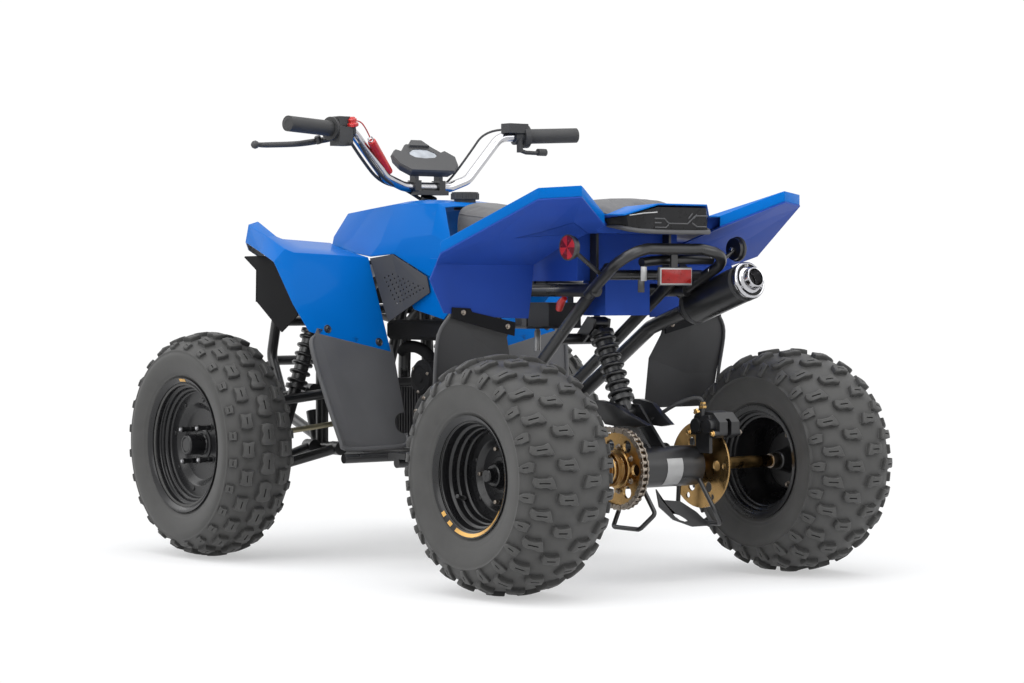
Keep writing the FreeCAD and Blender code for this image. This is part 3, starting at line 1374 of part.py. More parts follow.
def lower_guards():
    """Skid bars under the sprocket and the disc, from the axle carrier."""
    z = float(d.rear_tyre_diameter) / 2
    shapes = []
    low = z - float(d.guard_drop)
    for y, inner in ((86, 60), (-122, -92)):
        shapes.append(tube([aft(30, inner, z - 26), aft(34, inner, low + 30), aft(20, y, low), aft(-60, y, low),
                            aft(-76, inner, low + 30), aft(-30, inner, z - 26)], 9, 10))
    return feature("lower_guards", Part.makeCompound(shapes).cut(CARRIER))


node(seat())
REAR_FENDER = node(rear_fender()).Shape
INNER_FENDER = node(inner_fender()).Shape
node(rear_panel())
TANK_COVER = node(tank_cover()).Shape
node(fuel_cap())
KNEE_PANELS = node(knee_panels()).Shape
FRONT_FENDER = node(front_fender()).Shape
node(leg_shields())
node(heel_guards())
FRONT_NOSE = node(front_nose()).Shape
node(headlights())
node(footrests())
node(tail_lamp())
node(reflectors())
node(battery_box())
node(brake_caliper())
node(brake_hose())
node(lower_guards())


# Check and write

doc.recompute()
for thing in doc.Objects:
    if "Invalid" in thing.State or "Error" in thing.State:
        raise RuntimeError(f"{thing.Label} did not build: {thing.State}")
for piece in NODES:
    if piece.Shape.isNull() or not piece.Shape.isValid():
        raise RuntimeError(f"{piece.Label} has no valid shape")

os.makedirs("parts", exist_ok=True)
for piece in NODES:
    piece.Shape.exportStep(f"parts/{piece.Label}.step")
print(len(NODES), "sub-parts written")
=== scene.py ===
from math import acos, atan2, copysign, cos, exp, hypot, pi, radians, sin

import bmesh
import bpy
from mathutils import Matrix, Vector


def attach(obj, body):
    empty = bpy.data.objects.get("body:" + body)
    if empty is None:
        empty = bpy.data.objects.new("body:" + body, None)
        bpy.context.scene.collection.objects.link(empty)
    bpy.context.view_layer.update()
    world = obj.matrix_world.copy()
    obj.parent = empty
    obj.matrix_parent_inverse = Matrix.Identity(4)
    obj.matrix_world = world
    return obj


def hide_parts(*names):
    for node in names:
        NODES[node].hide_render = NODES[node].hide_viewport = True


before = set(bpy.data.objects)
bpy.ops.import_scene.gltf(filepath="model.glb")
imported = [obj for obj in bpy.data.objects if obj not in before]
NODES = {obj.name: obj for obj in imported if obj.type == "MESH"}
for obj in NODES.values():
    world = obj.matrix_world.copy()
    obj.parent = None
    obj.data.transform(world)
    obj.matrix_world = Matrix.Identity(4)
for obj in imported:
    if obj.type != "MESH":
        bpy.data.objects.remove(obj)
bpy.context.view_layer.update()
SCENE = bpy.context.scene

# Lengths in the tables are millimetres, X forward from the rear axle and Z up from the ground.
REAR_AXLE_X = -518.0
WHEELBASE = 980.0
REAR_CENTRE = (0.0, 360.0, 228.0)
FRONT_CENTRE = (WHEELBASE, 420.0, 242.0)
AXLE_Z = REAR_CENTRE[2]


def metres(point):
    """A place of the tables in the frame's own units."""
    x, y, z = point
    return Vector(((x + REAR_AXLE_X) / 1000, y / 1000, z / 1000))


def millimetres(place):
    return (place.x * 1000 - REAR_AXLE_X, place.y * 1000, place.z * 1000)


def fwd(points):
    """Points that are measured from the front axle."""
    return [(WHEELBASE + x, y, z) for x, y, z in points]


def mirrored(points):
    return [(x, -y, z) for x, y, z in points]


def linked(name, data):
    thing = bpy.data.objects.new(name, data)
    SCENE.collection.objects.link(thing)
    return thing


def configure(made, **settings):
    for key, value in settings.items():
        setattr(made, key, value)
    return made


def register(thing, body, replaces=None):
    """Lets a piece ride on its body and the node it stands for."""
    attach(thing, body)
    if replaces:
        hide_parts(replaces)


# Camera, light and ground

CAMERA_PLACE = (-4.560, 3.427, 0.5895)
CAMERA_YAW, CAMERA_PITCH = radians(-37.2914), radians(-1.25248)
WHITE = (1, 1, 1, 1)
BACKDROP = 1.02


def aim(thing, place, heading):
    thing.location = place
    thing.rotation_euler = heading.to_track_quat("-Z", "Y").to_euler()


def make_camera():
    SCENE.camera = linked("camera", configure(bpy.data.cameras.new("camera"), sensor_width=36, lens=95.10))
    level, rise = cos(CAMERA_PITCH), sin(CAMERA_PITCH)
    aim(SCENE.camera, CAMERA_PLACE, Vector((cos(CAMERA_YAW) * level, sin(CAMERA_YAW) * level, rise)))


def area_light(name, place, target, size, power):
    width, depth = size
    data = configure(bpy.data.lights.new(name, "AREA"), shape="RECTANGLE", size=width, size_y=depth,
                     energy=power)
    aim(linked(name, data), place, Vector(target) - Vector(place))


def feed(tree, made, inputs):
    """Gives a node's inputs their values, or links the sockets that are given for them."""
    for key, value in inputs.items():
        if isinstance(value, bpy.types.NodeSocket):
            tree.links.new(value, made.inputs[key])
        else:
            made.inputs[key].default_value = value
    return made


def node(tree, kind, inputs=None, **settings):
    return feed(tree, configure(tree.nodes.new("ShaderNode" + kind), **settings), inputs or {})


def seen_rays(tree):
    """1 for rays of the camera, of mirrors and of glass, 0 for the rest."""
    path = node(tree, "LightPath")
    total = path.outputs["Is Camera Ray"]
    for name in ("Is Glossy Ray", "Is Transmission Ray"):
        total = node(tree, "Math", {0: total, 1: path.outputs[name]}, use_clamp=True).outputs[0]
    return total


def make_light():
    SCENE.view_settings.view_transform = "Standard"
    world = bpy.data.worlds.new("studio")
    SCENE.world = world
    world.use_nodes = True
    tree = world.node_tree
    tree.nodes.clear()
    light = node(tree, "Background", {"Color": (0.93, 0.96, 1.0, 1), "Strength": 0.42})
    seen = node(tree, "Background", {"Color": WHITE, "Strength": BACKDROP})
    mix = node(tree, "MixShader", {0: seen_rays(tree), 1: light.outputs[0], 2: seen.outputs[0]})
    node(tree, "OutputWorld", {0: mix.outputs[0]})
    area_light("top_softbox", (-0.6, 0.4, 3.8), (0, 0, 0.3), (5.5, 4.6), 150)
    area_light("left_softbox", (-1.4, 4.8, 2.6), (0.1, 0, 0.5), (4.0, 2.6), 62)
    area_light("rear_softbox", (-5.0, -1.6, 2.6), (-0.3, 0, 0.5), (3.6, 2.6), 60)
    area_light("front_softbox", (4.0, 2.4, 3.0), (0.2, 0, 0.6), (3.0, 2.6), 40)


def make_floor():
    """White ground that takes the shadow and fades into the backdrop away from the machine."""
    mesh = bpy.data.meshes.new("floor")
    mesh.from_pydata([(-30, -30, 0), (30, -30, 0), (30, 30, 0), (-30, 30, 0)], [], [(0, 1, 2, 3)])
    floor = linked("floor", mesh)
    material = bpy.data.materials.new("floor")
    material.use_nodes = True
    tree = material.node_tree
    ground = feed(tree, tree.nodes["Principled BSDF"], {
        "Base Color": (0.86, 0.86, 0.86, 1), "Roughness": 0.9, "Specular IOR Level": 0.1,
        "Emission Color": WHITE, "Emission Strength": 0.16})
    white = node(tree, "Emission", {"Color": WHITE, "Strength": BACKDROP})
    place = node(tree, "TexCoord")
    away = node(tree, "VectorMath", {0: place.outputs["Object"]}, operation="LENGTH")
    fade = node(tree, "MapRange", {"Value": away.outputs["Value"], "From Min": 1.0, "From Max": 1.7,
                                   "To Min": 0.35}, interpolation_type="SMOOTHSTEP")
    faded = node(tree, "Math", {0: fade.outputs["Result"], 1: seen_rays(tree)}, operation="MULTIPLY")
    feed(tree, tree.nodes["Material Output"], {"Surface": node(
        tree, "MixShader", {0: faded.outputs[0], 1: ground.outputs[0], 2: white.outputs[0]}).outputs[0]})
    mesh.materials.append(material)


# Materials

def noise(tree, scale, detail, rough):
    place = node(tree, "TexCoord")
    return node(tree, "TexNoise", {"Scale": scale, "Detail": detail, "Roughness": rough,
                                   "Vector": place.outputs["Object"]}).outputs["Fac"]


def ramp(tree, source, low, high, out_low, out_high):
    return node(tree, "MapRange", {"Value": source, "From Min": low, "From Max": high, "To Min": out_low,
                                   "To Max": out_high}).outputs["Result"]


def blend(tree, factor, a, b):
    return node(tree, "Mix", {"Factor": factor, "A": a, "B": b}, data_type="RGBA").outputs["Result"]


def surface(name, colour, rough, tone, patch, grain, bump, rounded=0.0, wear=0.0, metallic=0.0, coat=0.0,
            coat_rough=0.04, coat_ior=1.5, specular=0.5, sheen=0.0, depth=0.0004, rough_spread=0.08,
            wear_colour=None, painted_corner_shade=0.0):
    """A procedural finish: patchy tone, fine bump, rounded and worn edges, painted shade in corners."""
    def tint(factor, plus=0.0):
        return (*(min(1.0, c * factor + plus) for c in colour), 1)

    material = bpy.data.materials.new(name)
    material.use_nodes = True
    tree = material.node_tree
    cloud = noise(tree, patch, 3.0, 0.55)
    result = blend(tree, ramp(tree, cloud, 0.3, 0.7, 0.0, 1.0), tint(1 - tone), tint(1 + tone))
    relief = node(tree, "Bump", {"Strength": bump, "Distance": depth, "Height": noise(tree, grain, 2.0, 0.6)})
    if rounded:
        soft = node(tree, "Bevel", {"Radius": rounded}, samples=4).outputs["Normal"]
        feed(tree, relief, {"Normal": soft})
        if wear:
            true = node(tree, "NewGeometry").outputs["Normal"]
            same = node(tree, "VectorMath", {0: soft, 1: true}, operation="DOT_PRODUCT").outputs["Value"]
            worn = (*wear_colour, 1) if wear_colour else tint(2.2, 0.02)
            result = blend(tree, ramp(tree, same, 0.99, 0.86, 0.0, wear), result, worn)
    # Painted shade: ambient occlusion darkens corners and recesses towards a dark copy of the colour.
    if painted_corner_shade:
        corner = node(tree, "AmbientOcclusion", {"Distance": 0.014}, samples=4, only_local=True)
        result = blend(tree, ramp(tree, corner.outputs["AO"], 0.45, 0.95, painted_corner_shade, 0.0), result, tint(0.12))
    feed(tree, tree.nodes["Principled BSDF"], {
        "Metallic": metallic, "Coat Weight": coat, "Coat Roughness": coat_rough, "Coat IOR": coat_ior,
        "Specular IOR Level": specular, "Sheen Weight": sheen,
        "Roughness": ramp(tree, cloud, 0.3, 0.7, rough - rough_spread, rough + rough_spread),
        "Normal": relief.outputs["Normal"], "Base Color": result})
    return material


# The numbers after a colour: roughness, tone, patch, grain, bump, rounded and wear.
MAT = {
    "blue": surface("blue_paint", (0.0, 0.140, 0.52), 0.40, 0.05, 3, 90, 0.03, 0.002, 0.2, coat=0.24,
                    coat_rough=0.05, coat_ior=1.2, depth=0.001, wear_colour=(0.04, 0.27, 0.78),
                    rough_spread=0.03, specular=0.05),
    "inner_blue": surface("inner_blue", (0.022, 0.072, 0.38), 0.50, 0.10, 6, 420, 0.08, 0.002, 0.15,
                          specular=0.12),
    "plastic": surface("dark_plastic", (0.050, 0.050, 0.052), 0.55, 0.10, 12, 900, 0.25, 0.0015, 0.35),
    "shield": surface("shield_plastic", (0.085, 0.085, 0.088), 0.55, 0.10, 12, 900, 0.25, 0.0015, 0.35),
    "liner": surface("liner_black", (0.014, 0.014, 0.015), 0.75, 0.2, 14, 500, 0.2, specular=0.12),
    "gloss": surface("lamp_black", (0.012, 0.012, 0.013), 0.30, 0.2, 30, 300, 0.05, 0.001, 0.2,
                     specular=0.25),
    "frame": surface("frame_black", (0.013, 0.013, 0.014), 0.34, 0.2, 14, 260, 0.06, 0.0012, 0.30, coat=0.2,
                     coat_rough=0.25),
    "rim": surface("rim_black", (0.010, 0.010, 0.011), 0.28, 0.15, 20, 300, 0.04, specular=0.35, coat=0.15,
                   coat_rough=0.12, rough_spread=0.05),
    # The tyre gets painted shade in the corners between and under its lugs.
    "tyre": surface("tyre", (0.060, 0.059, 0.057), 0.60, 0.16, 26, 520, 0.3, 0.0018, 0.6, painted_corner_shade=0.9,
                    depth=0.0005, specular=0.4, sheen=0.05, wear_colour=(0.15, 0.15, 0.145)),
    "rubber": surface("rubber", (0.035, 0.035, 0.036), 0.60, 0.1, 25, 500, 0.2, 0.001),
    "seat": surface("seat_cover", (0.120, 0.120, 0.124), 0.50, 0.10, 10, 760, 0.35, depth=0.0006,
                    specular=0.45),
    "gold": surface("gold_steel", (0.40, 0.25, 0.10), 0.32, 0.30, 30, 240, 0.08, 0.001, 0.4, metallic=1.0,
                    wear_colour=(0.75, 0.6, 0.4), rough_spread=0.12),
    "steel": surface("chain_steel", (0.30, 0.26, 0.22), 0.36, 0.25, 60, 300, 0.1, 0.0006, 0.4, metallic=1.0,
                     wear_colour=(0.7, 0.66, 0.6)),
    "chrome": surface("chrome", (0.50, 0.50, 0.52), 0.16, 0.05, 12, 200, 0.02, 0.0008, metallic=1.0,
                      rough_spread=0.03),
    "engine": surface("engine_metal", (0.060, 0.060, 0.062), 0.42, 0.2, 18, 380, 0.2, 0.002, 0.4,
                      metallic=0.5),
    "brass": surface("brass", (0.66, 0.42, 0.16), 0.28, 0.2, 70, 500, 0.1, 0.0005, metallic=1.0),
    "zinc": surface("zinc_plate", (0.30, 0.27, 0.18), 0.40, 0.2, 30, 300, 0.1, 0.001, 0.3, metallic=0.8),
    # This grey also draws the painted highlight strip on the tail lamp.
    "grey": surface("grey_parts_and_painted_highlight", (0.36, 0.36, 0.36), 0.35, 0.1, 20, 300, 0.05, metallic=0.6),
    "gilt": surface("gilt_paint", (0.62, 0.36, 0.10), 0.35, 0.1, 40, 400, 0.05, metallic=0.6),
    "red": surface("red_lens", (0.26, 0.006, 0.005), 0.30, 0.2, 60, 420, 0.25, coat=0.2, coat_rough=0.10,
                   specular=0.25),
    # A darker copy of the red lens, used as painted shade on the reflector sectors.
    "lens_dark": surface("lens_dark", (0.16, 0.008, 0.006), 0.25, 0.2, 60, 400, 0.15, coat=0.2,
                         coat_rough=0.10),
    "red_plastic": surface("red_plastic", (0.55, 0.012, 0.010), 0.36, 0.12, 50, 400, 0.15, 0.0008,
                           coat=0.5),
    "clear": surface("clear_lens", (0.62, 0.66, 0.72), 0.10, 0.06, 20, 150, 0.05, coat=1.0,
                     coat_rough=0.03),
    "display": surface("display", (0.42, 0.45, 0.49), 0.14, 0.25, 30, 200, 0.02, coat=1.0, coat_rough=0.02),
}

NODE_FINISH = {
    "blue": "front_fender rear_fender tank_cover",
    "inner_blue": "inner_fender rear_panel",
    "plastic": "knee_panels heel_guards gauge_pod battery_box",
    "shield": "leg_shields",
    "liner": "front_nose",
    "gloss": "tail_lamp",
    "frame": "arms_left arms_right axle_carrier footrests frame_front frame_lower frame_upper rear_loop "
             "front_bumper front_shocks knuckle_left knuckle_right lower_guards rear_shock swingarm "
             "brake_caliper exhaust_pipe steering_column muffler",
    "rim": "front_rim_left front_rim_right rear_rim_left rear_rim_right",
    "tyre": "front_tyre_left front_tyre_right rear_tyre_left rear_tyre_right",
    "rubber": "grips fuel_cap levers switch_housings control_cables brake_hose",
    "seat": "seat",
    "gold": "rear_axle rear_sprocket brake_disc",
    "steel": "chain",
    "chrome": "handlebar muffler_tip",
    "engine": "engine",
    "zinc": "tie_rod_left tie_rod_right",
    "red": "reflectors",
    "red_plastic": "kill_key lanyard",
    "clear": "headlights",
    "display": "display",
}


def finish_nodes():
    for key, names in NODE_FINISH.items():
        for name in names.split():
            mesh = NODES[name].data
            mesh.materials.clear()
            mesh.materials.append(MAT[key])


# Mesh building

def closed_mesh(name, points, faces, keys):
    """A mesh over points in millimetres, with a finish for each face and its normals outwards."""
    finishes = sorted(set(keys))
    mesh = bpy.data.meshes.new(name)
    mesh.from_pydata([metres(point) for point in points], [], faces)
    for key in finishes:
        mesh.materials.append(MAT[key])
    mesh.polygons.foreach_set("material_index", [finishes.index(key) for key in keys])
    mesh.validate()
    made = bmesh.new()
    made.from_mesh(mesh)
    bmesh.ops.recalc_face_normals(made, faces=made.faces)
    made.to_mesh(mesh)
    made.free()
    return mesh


def shade(mesh, angle):
    mesh.shade_smooth()
    mesh.set_sharp_from_angle(angle=radians(angle))


def settle(thing):
    """Puts what a thing's modifiers make of its mesh in the mesh's place."""
    bpy.context.view_layer.update()
    settled = bpy.data.meshes.new_from_object(thing.evaluated_get(bpy.context.evaluated_depsgraph_get()))
    thing.modifiers.clear()
    thing.data = settled
    return settled


class Piece:
    """Collects solids in millimetres, each with its finish, into one riding mesh."""

    def __init__(self, name):
        self.name = name
        self.verts, self.faces, self.keys = [], [], []

    def add(self, verts, faces, key):
        base = len(self.verts)
        self.verts += [tuple(v) for v in verts]
        self.faces += [tuple(base + i for i in face) for face in faces]
        self.keys += [key] * len(faces)

    def make(self, body, replaces=None, angle=40):
        mesh = closed_mesh(self.name, self.verts, self.faces, self.keys)
        shade(mesh, angle)
        register(linked(self.name, mesh), body, replaces)


def ring_faces(rows, count, closed_rows=False):
    """Quads between successive rings of count points."""
    faces = []
    for row in range(rows if closed_rows else rows - 1):
        after = (row + 1) % rows
        for i in range(count):
            j = (i + 1) % count
            faces.append((row * count + i, row * count + j, after * count + j, after * count + i))
    return faces


def capped(rows, count):
    """Quads between rings, with a face over the first and the last."""
    last = (rows - 1) * count
    return ring_faces(rows, count) + [tuple(range(count)), tuple(range(last, last + count))]


def between(p, q, r, s, t):
    """The Catmull-Rom value between q and r."""
    square, cube = 2 * p - 5 * q + 4 * r - s, 3 * q - p - 3 * r + s
    return 0.5 * (2 * q + (r - p) * t + square * t * t + cube * t ** 3)


def spline(points, steps):
    """Smooth samples through points of any dimension."""
    found = []
    last = len(points) - 1
    for i in range(last):
        near = points[max(i - 1, 0)], points[i], points[i + 1], points[min(i + 2, last)]
        found += [tuple(between(*values, step / steps) for values in zip(*near)) for step in range(steps)]
    return found + [tuple(points[last])]


def frame_for(direction):
    """Two unit vectors square to a direction."""
    direction = Vector(direction).normalized()
    helper = Vector((0, 0, 1)) if abs(direction.z) < 0.9 else Vector((1, 0, 0))
    side = direction.cross(helper).normalized()
    return side, side.cross(direction).normalized()


def circle(centre, side, up, radius, count, start=0.0):
    """Points evenly round a centre, in the plane of two unit vectors."""
    turns = [start + 2 * pi * i / count for i in range(count)]
    return [centre + (side * cos(turn) + up * sin(turn)) * radius for turn in turns]


def spots(centre, radius, count, start=0):
    """Places evenly round a circle square to Y, from an angle in degrees."""
    x, y, z = centre
    turns = [radians(start + 360 / count * k) for k in range(count)]
    return [(x + radius * cos(turn), y, z + radius * sin(turn)) for turn in turns]


def turned(piece, origin, axis, profile, key, segments=48):
    """Revolves a closed line of (along, radius) points about an axis through origin."""
    axis = Vector(axis).normalized()
    verts = []
    for along, radius in profile:
        verts += circle(Vector(origin) + axis * along, *frame_for(axis), radius, segments)
    piece.add(verts, ring_faces(len(profile), segments, True), key)


def rod(low, high, radius, core=0.1):
    """The profile of a plain rod, or of a sleeve round a core."""
    return [(low, core), (low, radius), (high, radius), (high, core)]


def swept(piece, points, radius, key, segments=12, steps=8):
    """A round tube along a smooth line; a list of radii runs evenly along it."""
    path = [Vector(p) for p in (spline(points, steps) if steps else points)]
    radii = radius if isinstance(radius, list) else [radius, radius]
    side, up = frame_for(path[1] - path[0])
    heading = (path[1] - path[0]).normalized()
    verts = []
    for n, point in enumerate(path):
        ahead = (path[min(n + 1, len(path) - 1)] - path[max(n - 1, 0)]).normalized()
        turn = heading.rotation_difference(ahead)
        side, up, heading = turn @ side, turn @ up, ahead
        place = n / (len(path) - 1) * (len(radii) - 1)
        low = min(int(place), len(radii) - 2)
        verts += circle(point, side, up, radii[low] + (radii[low + 1] - radii[low]) * (place - low), segments)
    piece.add(verts, capped(len(path), segments), key)


def bolt(piece, place, axis, size, height, key="steel"):
    """A flanged hexagon screw head standing on place along axis; size is the flange's radius."""
    axis = Vector(axis).normalized()
    turned(piece, place, axis, [(-1.0, 0.2), (-1.0, size * 0.98), (0.8, size * 0.98), (1.5, size * 0.86),
                                (1.5, 0.2)], key, 20)
    verts = []
    for along, radius in ((0.5, size * 0.66), (height - 1.0, size * 0.66), (height, size * 0.56)):
        verts += circle(Vector(place) + axis * along, *frame_for(axis), radius, 6)
    piece.add(verts, capped(3, 6), key)


def bolts(piece, places, *head):
    for place in places:
        bolt(piece, place, *head)


def block(piece, low, high, key, bevel):
    """A block between two corners, chamfered along X and round both X ends."""
    verts = []
    for x, inset in ((low[0], bevel), (low[0] + bevel, 0), (high[0] - bevel, 0), (high[0], bevel)):
        y0, y1, z0, z1 = low[1] + inset, high[1] - inset, low[2] + inset, high[2] - inset
        verts += [(x, y0 + bevel, z0), (x, y1 - bevel, z0), (x, y1, z0 + bevel), (x, y1, z1 - bevel),
                  (x, y1 - bevel, z1), (x, y0 + bevel, z1), (x, y0, z1 - bevel), (x, y0, z0 + bevel)]
    piece.add(verts, capped(4, 8), key)


def plate(piece, outline, side, thick, edge, key, reach=None):
    """A flat plate behind an outline, whose outer edge is chamfered towards the middle."""
    middle_x = sum(x for x, _, _ in outline) / len(outline)
    middle_z = sum(z for _, _, z in outline) / len(outline)
    verts = []
    for inset, pull in ((thick, 0), (edge, 0), (0, edge)):
        for x, y, z in outline:
            out_x, out_z = x - middle_x, z - middle_z
            lean = 1 - pull / (reach or hypot(out_x, out_z))
            verts.append((middle_x + out_x * lean, side * (y - inset), middle_z + out_z * lean))
    piece.add(verts, capped(3, len(outline)), key)


# Moulded bodywork

SKIN_WALL = 3.0
SKIN_CREASE = 9
SKIN_SHARP = 26


def both(rows):
    """A left half grid whose last column lies nearest the middle, continued to the right."""
    return [row + mirrored(reversed(row)) for row in rows]


def skin(name, grids, replaces, bevel, under="blue", drill=()):
    """Moulded sheets over grids of stations, with rounded creases, thickened inwards."""
    made = bmesh.new()
    for grid in grids:
        rows = [[made.verts.new(metres(point)) for point in row] for row in grid]
        for a, b in zip(rows, rows[1:]):
            for i in range(len(a) - 1):
                made.faces.new(list(dict.fromkeys([a[i], a[i + 1], b[i + 1], b[i]])))
    bmesh.ops.remove_doubles(made, verts=made.verts, dist=0.00005)
    bmesh.ops.recalc_face_normals(made, faces=made.faces)
    if sum(face.normal.z * face.calc_area() for face in made.faces) < 0:
        bmesh.ops.reverse_faces(made, faces=made.faces)
    mesh = bpy.data.meshes.new(name)
    made.to_mesh(mesh)
    made.free()
    thing = linked(name, mesh)
    for finish in ("blue", under):
        mesh.materials.append(MAT[finish])
    configure(thing.modifiers.new("wall", "SOLIDIFY"), thickness=SKIN_WALL / 1000, offset=-1,
              use_even_offset=True, material_offset=1)
    configure(thing.modifiers.new("creases", "BEVEL"), width=bevel / 1000, segments=3, limit_method="ANGLE",
              angle_limit=radians(SKIN_CREASE))
    tools = [cutter(*hole) for hole in drill]
    for tool in tools:
        configure(thing.modifiers.new("hole", "BOOLEAN"), operation="DIFFERENCE", object=tool)
    shade(settle(thing), SKIN_SHARP)
    for tool in tools:
        bpy.data.objects.remove(tool)
    register(thing, "chassis", replaces)


def cutter(low, high, radius):
    """A bar between two places that drills a hole."""
    low, high, radius = metres(low), metres(high), radius / 1000
    made = bmesh.new()
    bmesh.ops.create_cone(made, cap_ends=True, segments=48, radius1=radius, radius2=radius,
                          depth=(high - low).length)
    mesh = bpy.data.meshes.new("cutter")
    made.to_mesh(mesh)
    made.free()
    tool = linked("cutter", mesh)
    turn = (high - low).to_track_quat("Z", "Y").to_matrix().to_4x4()
    tool.matrix_world = Matrix.Translation((low + high) / 2) @ turn
    return tool


def make_tank():
    column_hole, cap_hole = 25, 24
    rows = [[(-49, 138, 668), (-40, 127, 690), (-56, 100, 741), (-64, 60, 748)],
            [(-140, 150, 655), (-142, 138, 682), (-153, 106, 749), (-160, 62, 757)],
            [(-228, 158, 645), (-240, 140, 674), (-246, 104, 757), (-245, 62, 765)],
            [(-288, 139, 650), (-300, 124, 684), (-310, 100, 757), (-310, 60, 766)],
            [(-389, 121, 603), (-392, 113, 690), (-386, 92, 756), (-384, 54, 759)],
            [(-470, 118, 600), (-455, 108, 668), (-402, 86, 748), (-400, 48, 751)]]
    column = fwd([(-40, 0, 330), (-230, 0, 790)])
    skin("tank_shell", [both([fwd(row) for row in rows])], "tank_cover", 4,
         drill=[(*column, column_hole), ((624, 0, 700), (624, 0, 800), cap_hole)])
    skirts = Piece("tank_skirts")
    outline = [(-290, 118, 585), (-333, 118, 532), (-440, 118, 512), (-500, 118, 560), (-500, 118, 640),
               (-392, 118, 640)]
    for side in (1, -1):
        plate(skirts, fwd(outline), side, 3, 1, "blue")
    skirts.make("chassis")


def make_front_fenders():
    rows = [[(-267, 338, 487), (-268, 326, 483), (-269, 313, 480), (-274, 225, 460), (-279, 138, 440)],
            [(-253, 368, 543), (-249, 352, 552), (-251, 331, 551), (-252, 240, 546), (-253, 150, 541)],
            [(-231, 402, 633), (-224, 372, 660), (-226, 349, 652), (-227, 250, 648), (-228, 162, 643)],
            [(-140, 380, 654), (-137, 362, 688), (-138, 338, 687), (-132, 270, 666), (-130, 158, 660)],
            [(-46, 358, 675), (-46, 350, 714), (-46, 326, 721), (-70, 290, 684), (-60, 148, 676)],
            [(60, 286, 660), (60, 280, 696), (60, 262, 700), (50, 236, 680), (50, 120, 676)],
            [(176, 176, 640), (176, 172, 664), (174, 160, 668), (170, 130, 664), (170, 70, 664)]]
    left = [fwd(row) for row in rows]
    skin("front_fender_skin", [left, [mirrored(row) for row in left]], "front_fender", 4, "plastic")


def make_rear_fender():
    """Wings that rise outwards from a deck on both sides of the seat, which climbs behind it."""
    deck, half_deck, taper, drop = 688, 128, 21, 21
    rim = [(332, 170, 684), (246, 292, 674), (148, 408, 667), (-60, 333, 766), (-96, 258, 771),
           (-28, 147, 721)]
    roots = [(332, deck), (246, deck), (148, deck), (12.6, deck), (9, deck + 28), (-42, deck + 33)]
    middles = [(332, 85, deck), (246, 85, deck), (148, 85, deck), (12.6, 85, deck), (9, 66, deck + 49),
               (-88, 61, deck + 53)]
    left = []
    for (x, y, z), (root_x, root_z), middle in zip(rim, roots, middles):
        half = half_deck if root_x > 0 else half_deck - taper
        left.append([(x, y, z - drop), (x, y, z), (root_x, half, root_z), middle])
    skin("rear_fender_skin", [both(left)], "rear_fender", 3, "inner_blue")


# Tyres

class Section:
    """Carcass section as a line that lugs are measured along from the crown."""

    def __init__(self, points):
        self.points = spline(points, 6)
        self.along = [0.0]
        for (r0, y0), (r1, y1) in zip(self.points, self.points[1:]):
            self.along.append(self.along[-1] + hypot(r1 - r0, y1 - y0))
        middle = self.along[-1] / 2
        self.along = [s - middle for s in self.along]

    def at(self, t, rise):
        """(radius, y) at t along the section, moved outwards by rise."""
        i = 0
        while i < len(self.along) - 2 and self.along[i + 1] < t:
            i += 1
        (r0, y0), (r1, y1) = self.points[i], self.points[i + 1]
        span = self.along[i + 1] - self.along[i]
        f = (t - self.along[i]) / span
        return r0 + (r1 - r0) * f + (y1 - y0) / span * rise, y0 + (y1 - y0) * f - (r1 - r0) / span * rise


def on_wheel(centre, side, radius, y, angle):
    """A place on a wheel, with the angle from its rear towards its top."""
    return (centre[0] - radius * cos(angle), (centre[1] + y) * side, centre[2] + radius * sin(angle))


def scaled(outline, factor):
    return [(t * factor, s * factor) for t, s in outline]


def lug(piece, centre, side, section, base_radius, t0, angle0, outline, height, slot):
    """A tapered tread block with a moulded slot in its top."""
    count = len(outline)
    mid_t, mid_s = sum(t for t, _ in outline) / count, sum(s for _, s in outline) / count
    local = [(t - mid_t, s - mid_s) for t, s in outline]
    half_t, half_s = slot
    narrow = [(max(-half_t, min(half_t, t)), max(-half_s, min(half_s, s))) for t, s in scaled(local, 0.8)]
    rings = [(scaled(local, 1.08), -1.5), (local, height * 0.7), (scaled(local, 0.97), height - 0.8),
             (scaled(local, 0.9), height), (narrow, height - 0.2), (scaled(narrow, 0.8), height - 3.2)]
    verts = []
    for ring, rise in rings:
        for t, s in ring:
            angle = angle0 + (s + mid_s) / base_radius
            verts.append(on_wheel(centre, side, *section.at(t0 + mid_t + t, rise), angle))
    bottom = (len(rings) - 1) * count
    piece.add(verts, ring_faces(len(rings), count) + [tuple(range(bottom, bottom + count))], "tyre")


def tyre(name, node_name, body, side, centre, profile, rows, pitches, ribs):
    """Carcass with raised rings on its sidewalls, and the staggered rows of lugs."""
    piece = Piece(name)
    section = Section(profile)
    segments = 144
    verts = []
    for (r, _), along in zip(section.points, section.along):
        rise = sum(height * exp(-((r - at_radius) / width) ** 2) for at_radius, width, height in ribs)
        place = section.at(along, rise)
        verts += [on_wheel(centre, side, *place, 2 * pi * i / segments) for i in range(segments)]
    piece.add(verts, ring_faces(len(section.points), segments), "tyre")
    crown = max(r for r, _ in profile)
    for t0, phase, outline, height, slot in rows:
        for index in range(pitches):
            angle = 2 * pi * (index + phase) / pitches
            lug(piece, centre, side, section, crown, t0, angle, outline, height, slot)
    piece.make(body, node_name, 50)


def mirrored_lug(outline):
    return [(-t, s) for t, s in reversed(outline)]


def whole(half):
    return half + [(r, -y) for r, y in reversed(half[:-1])]


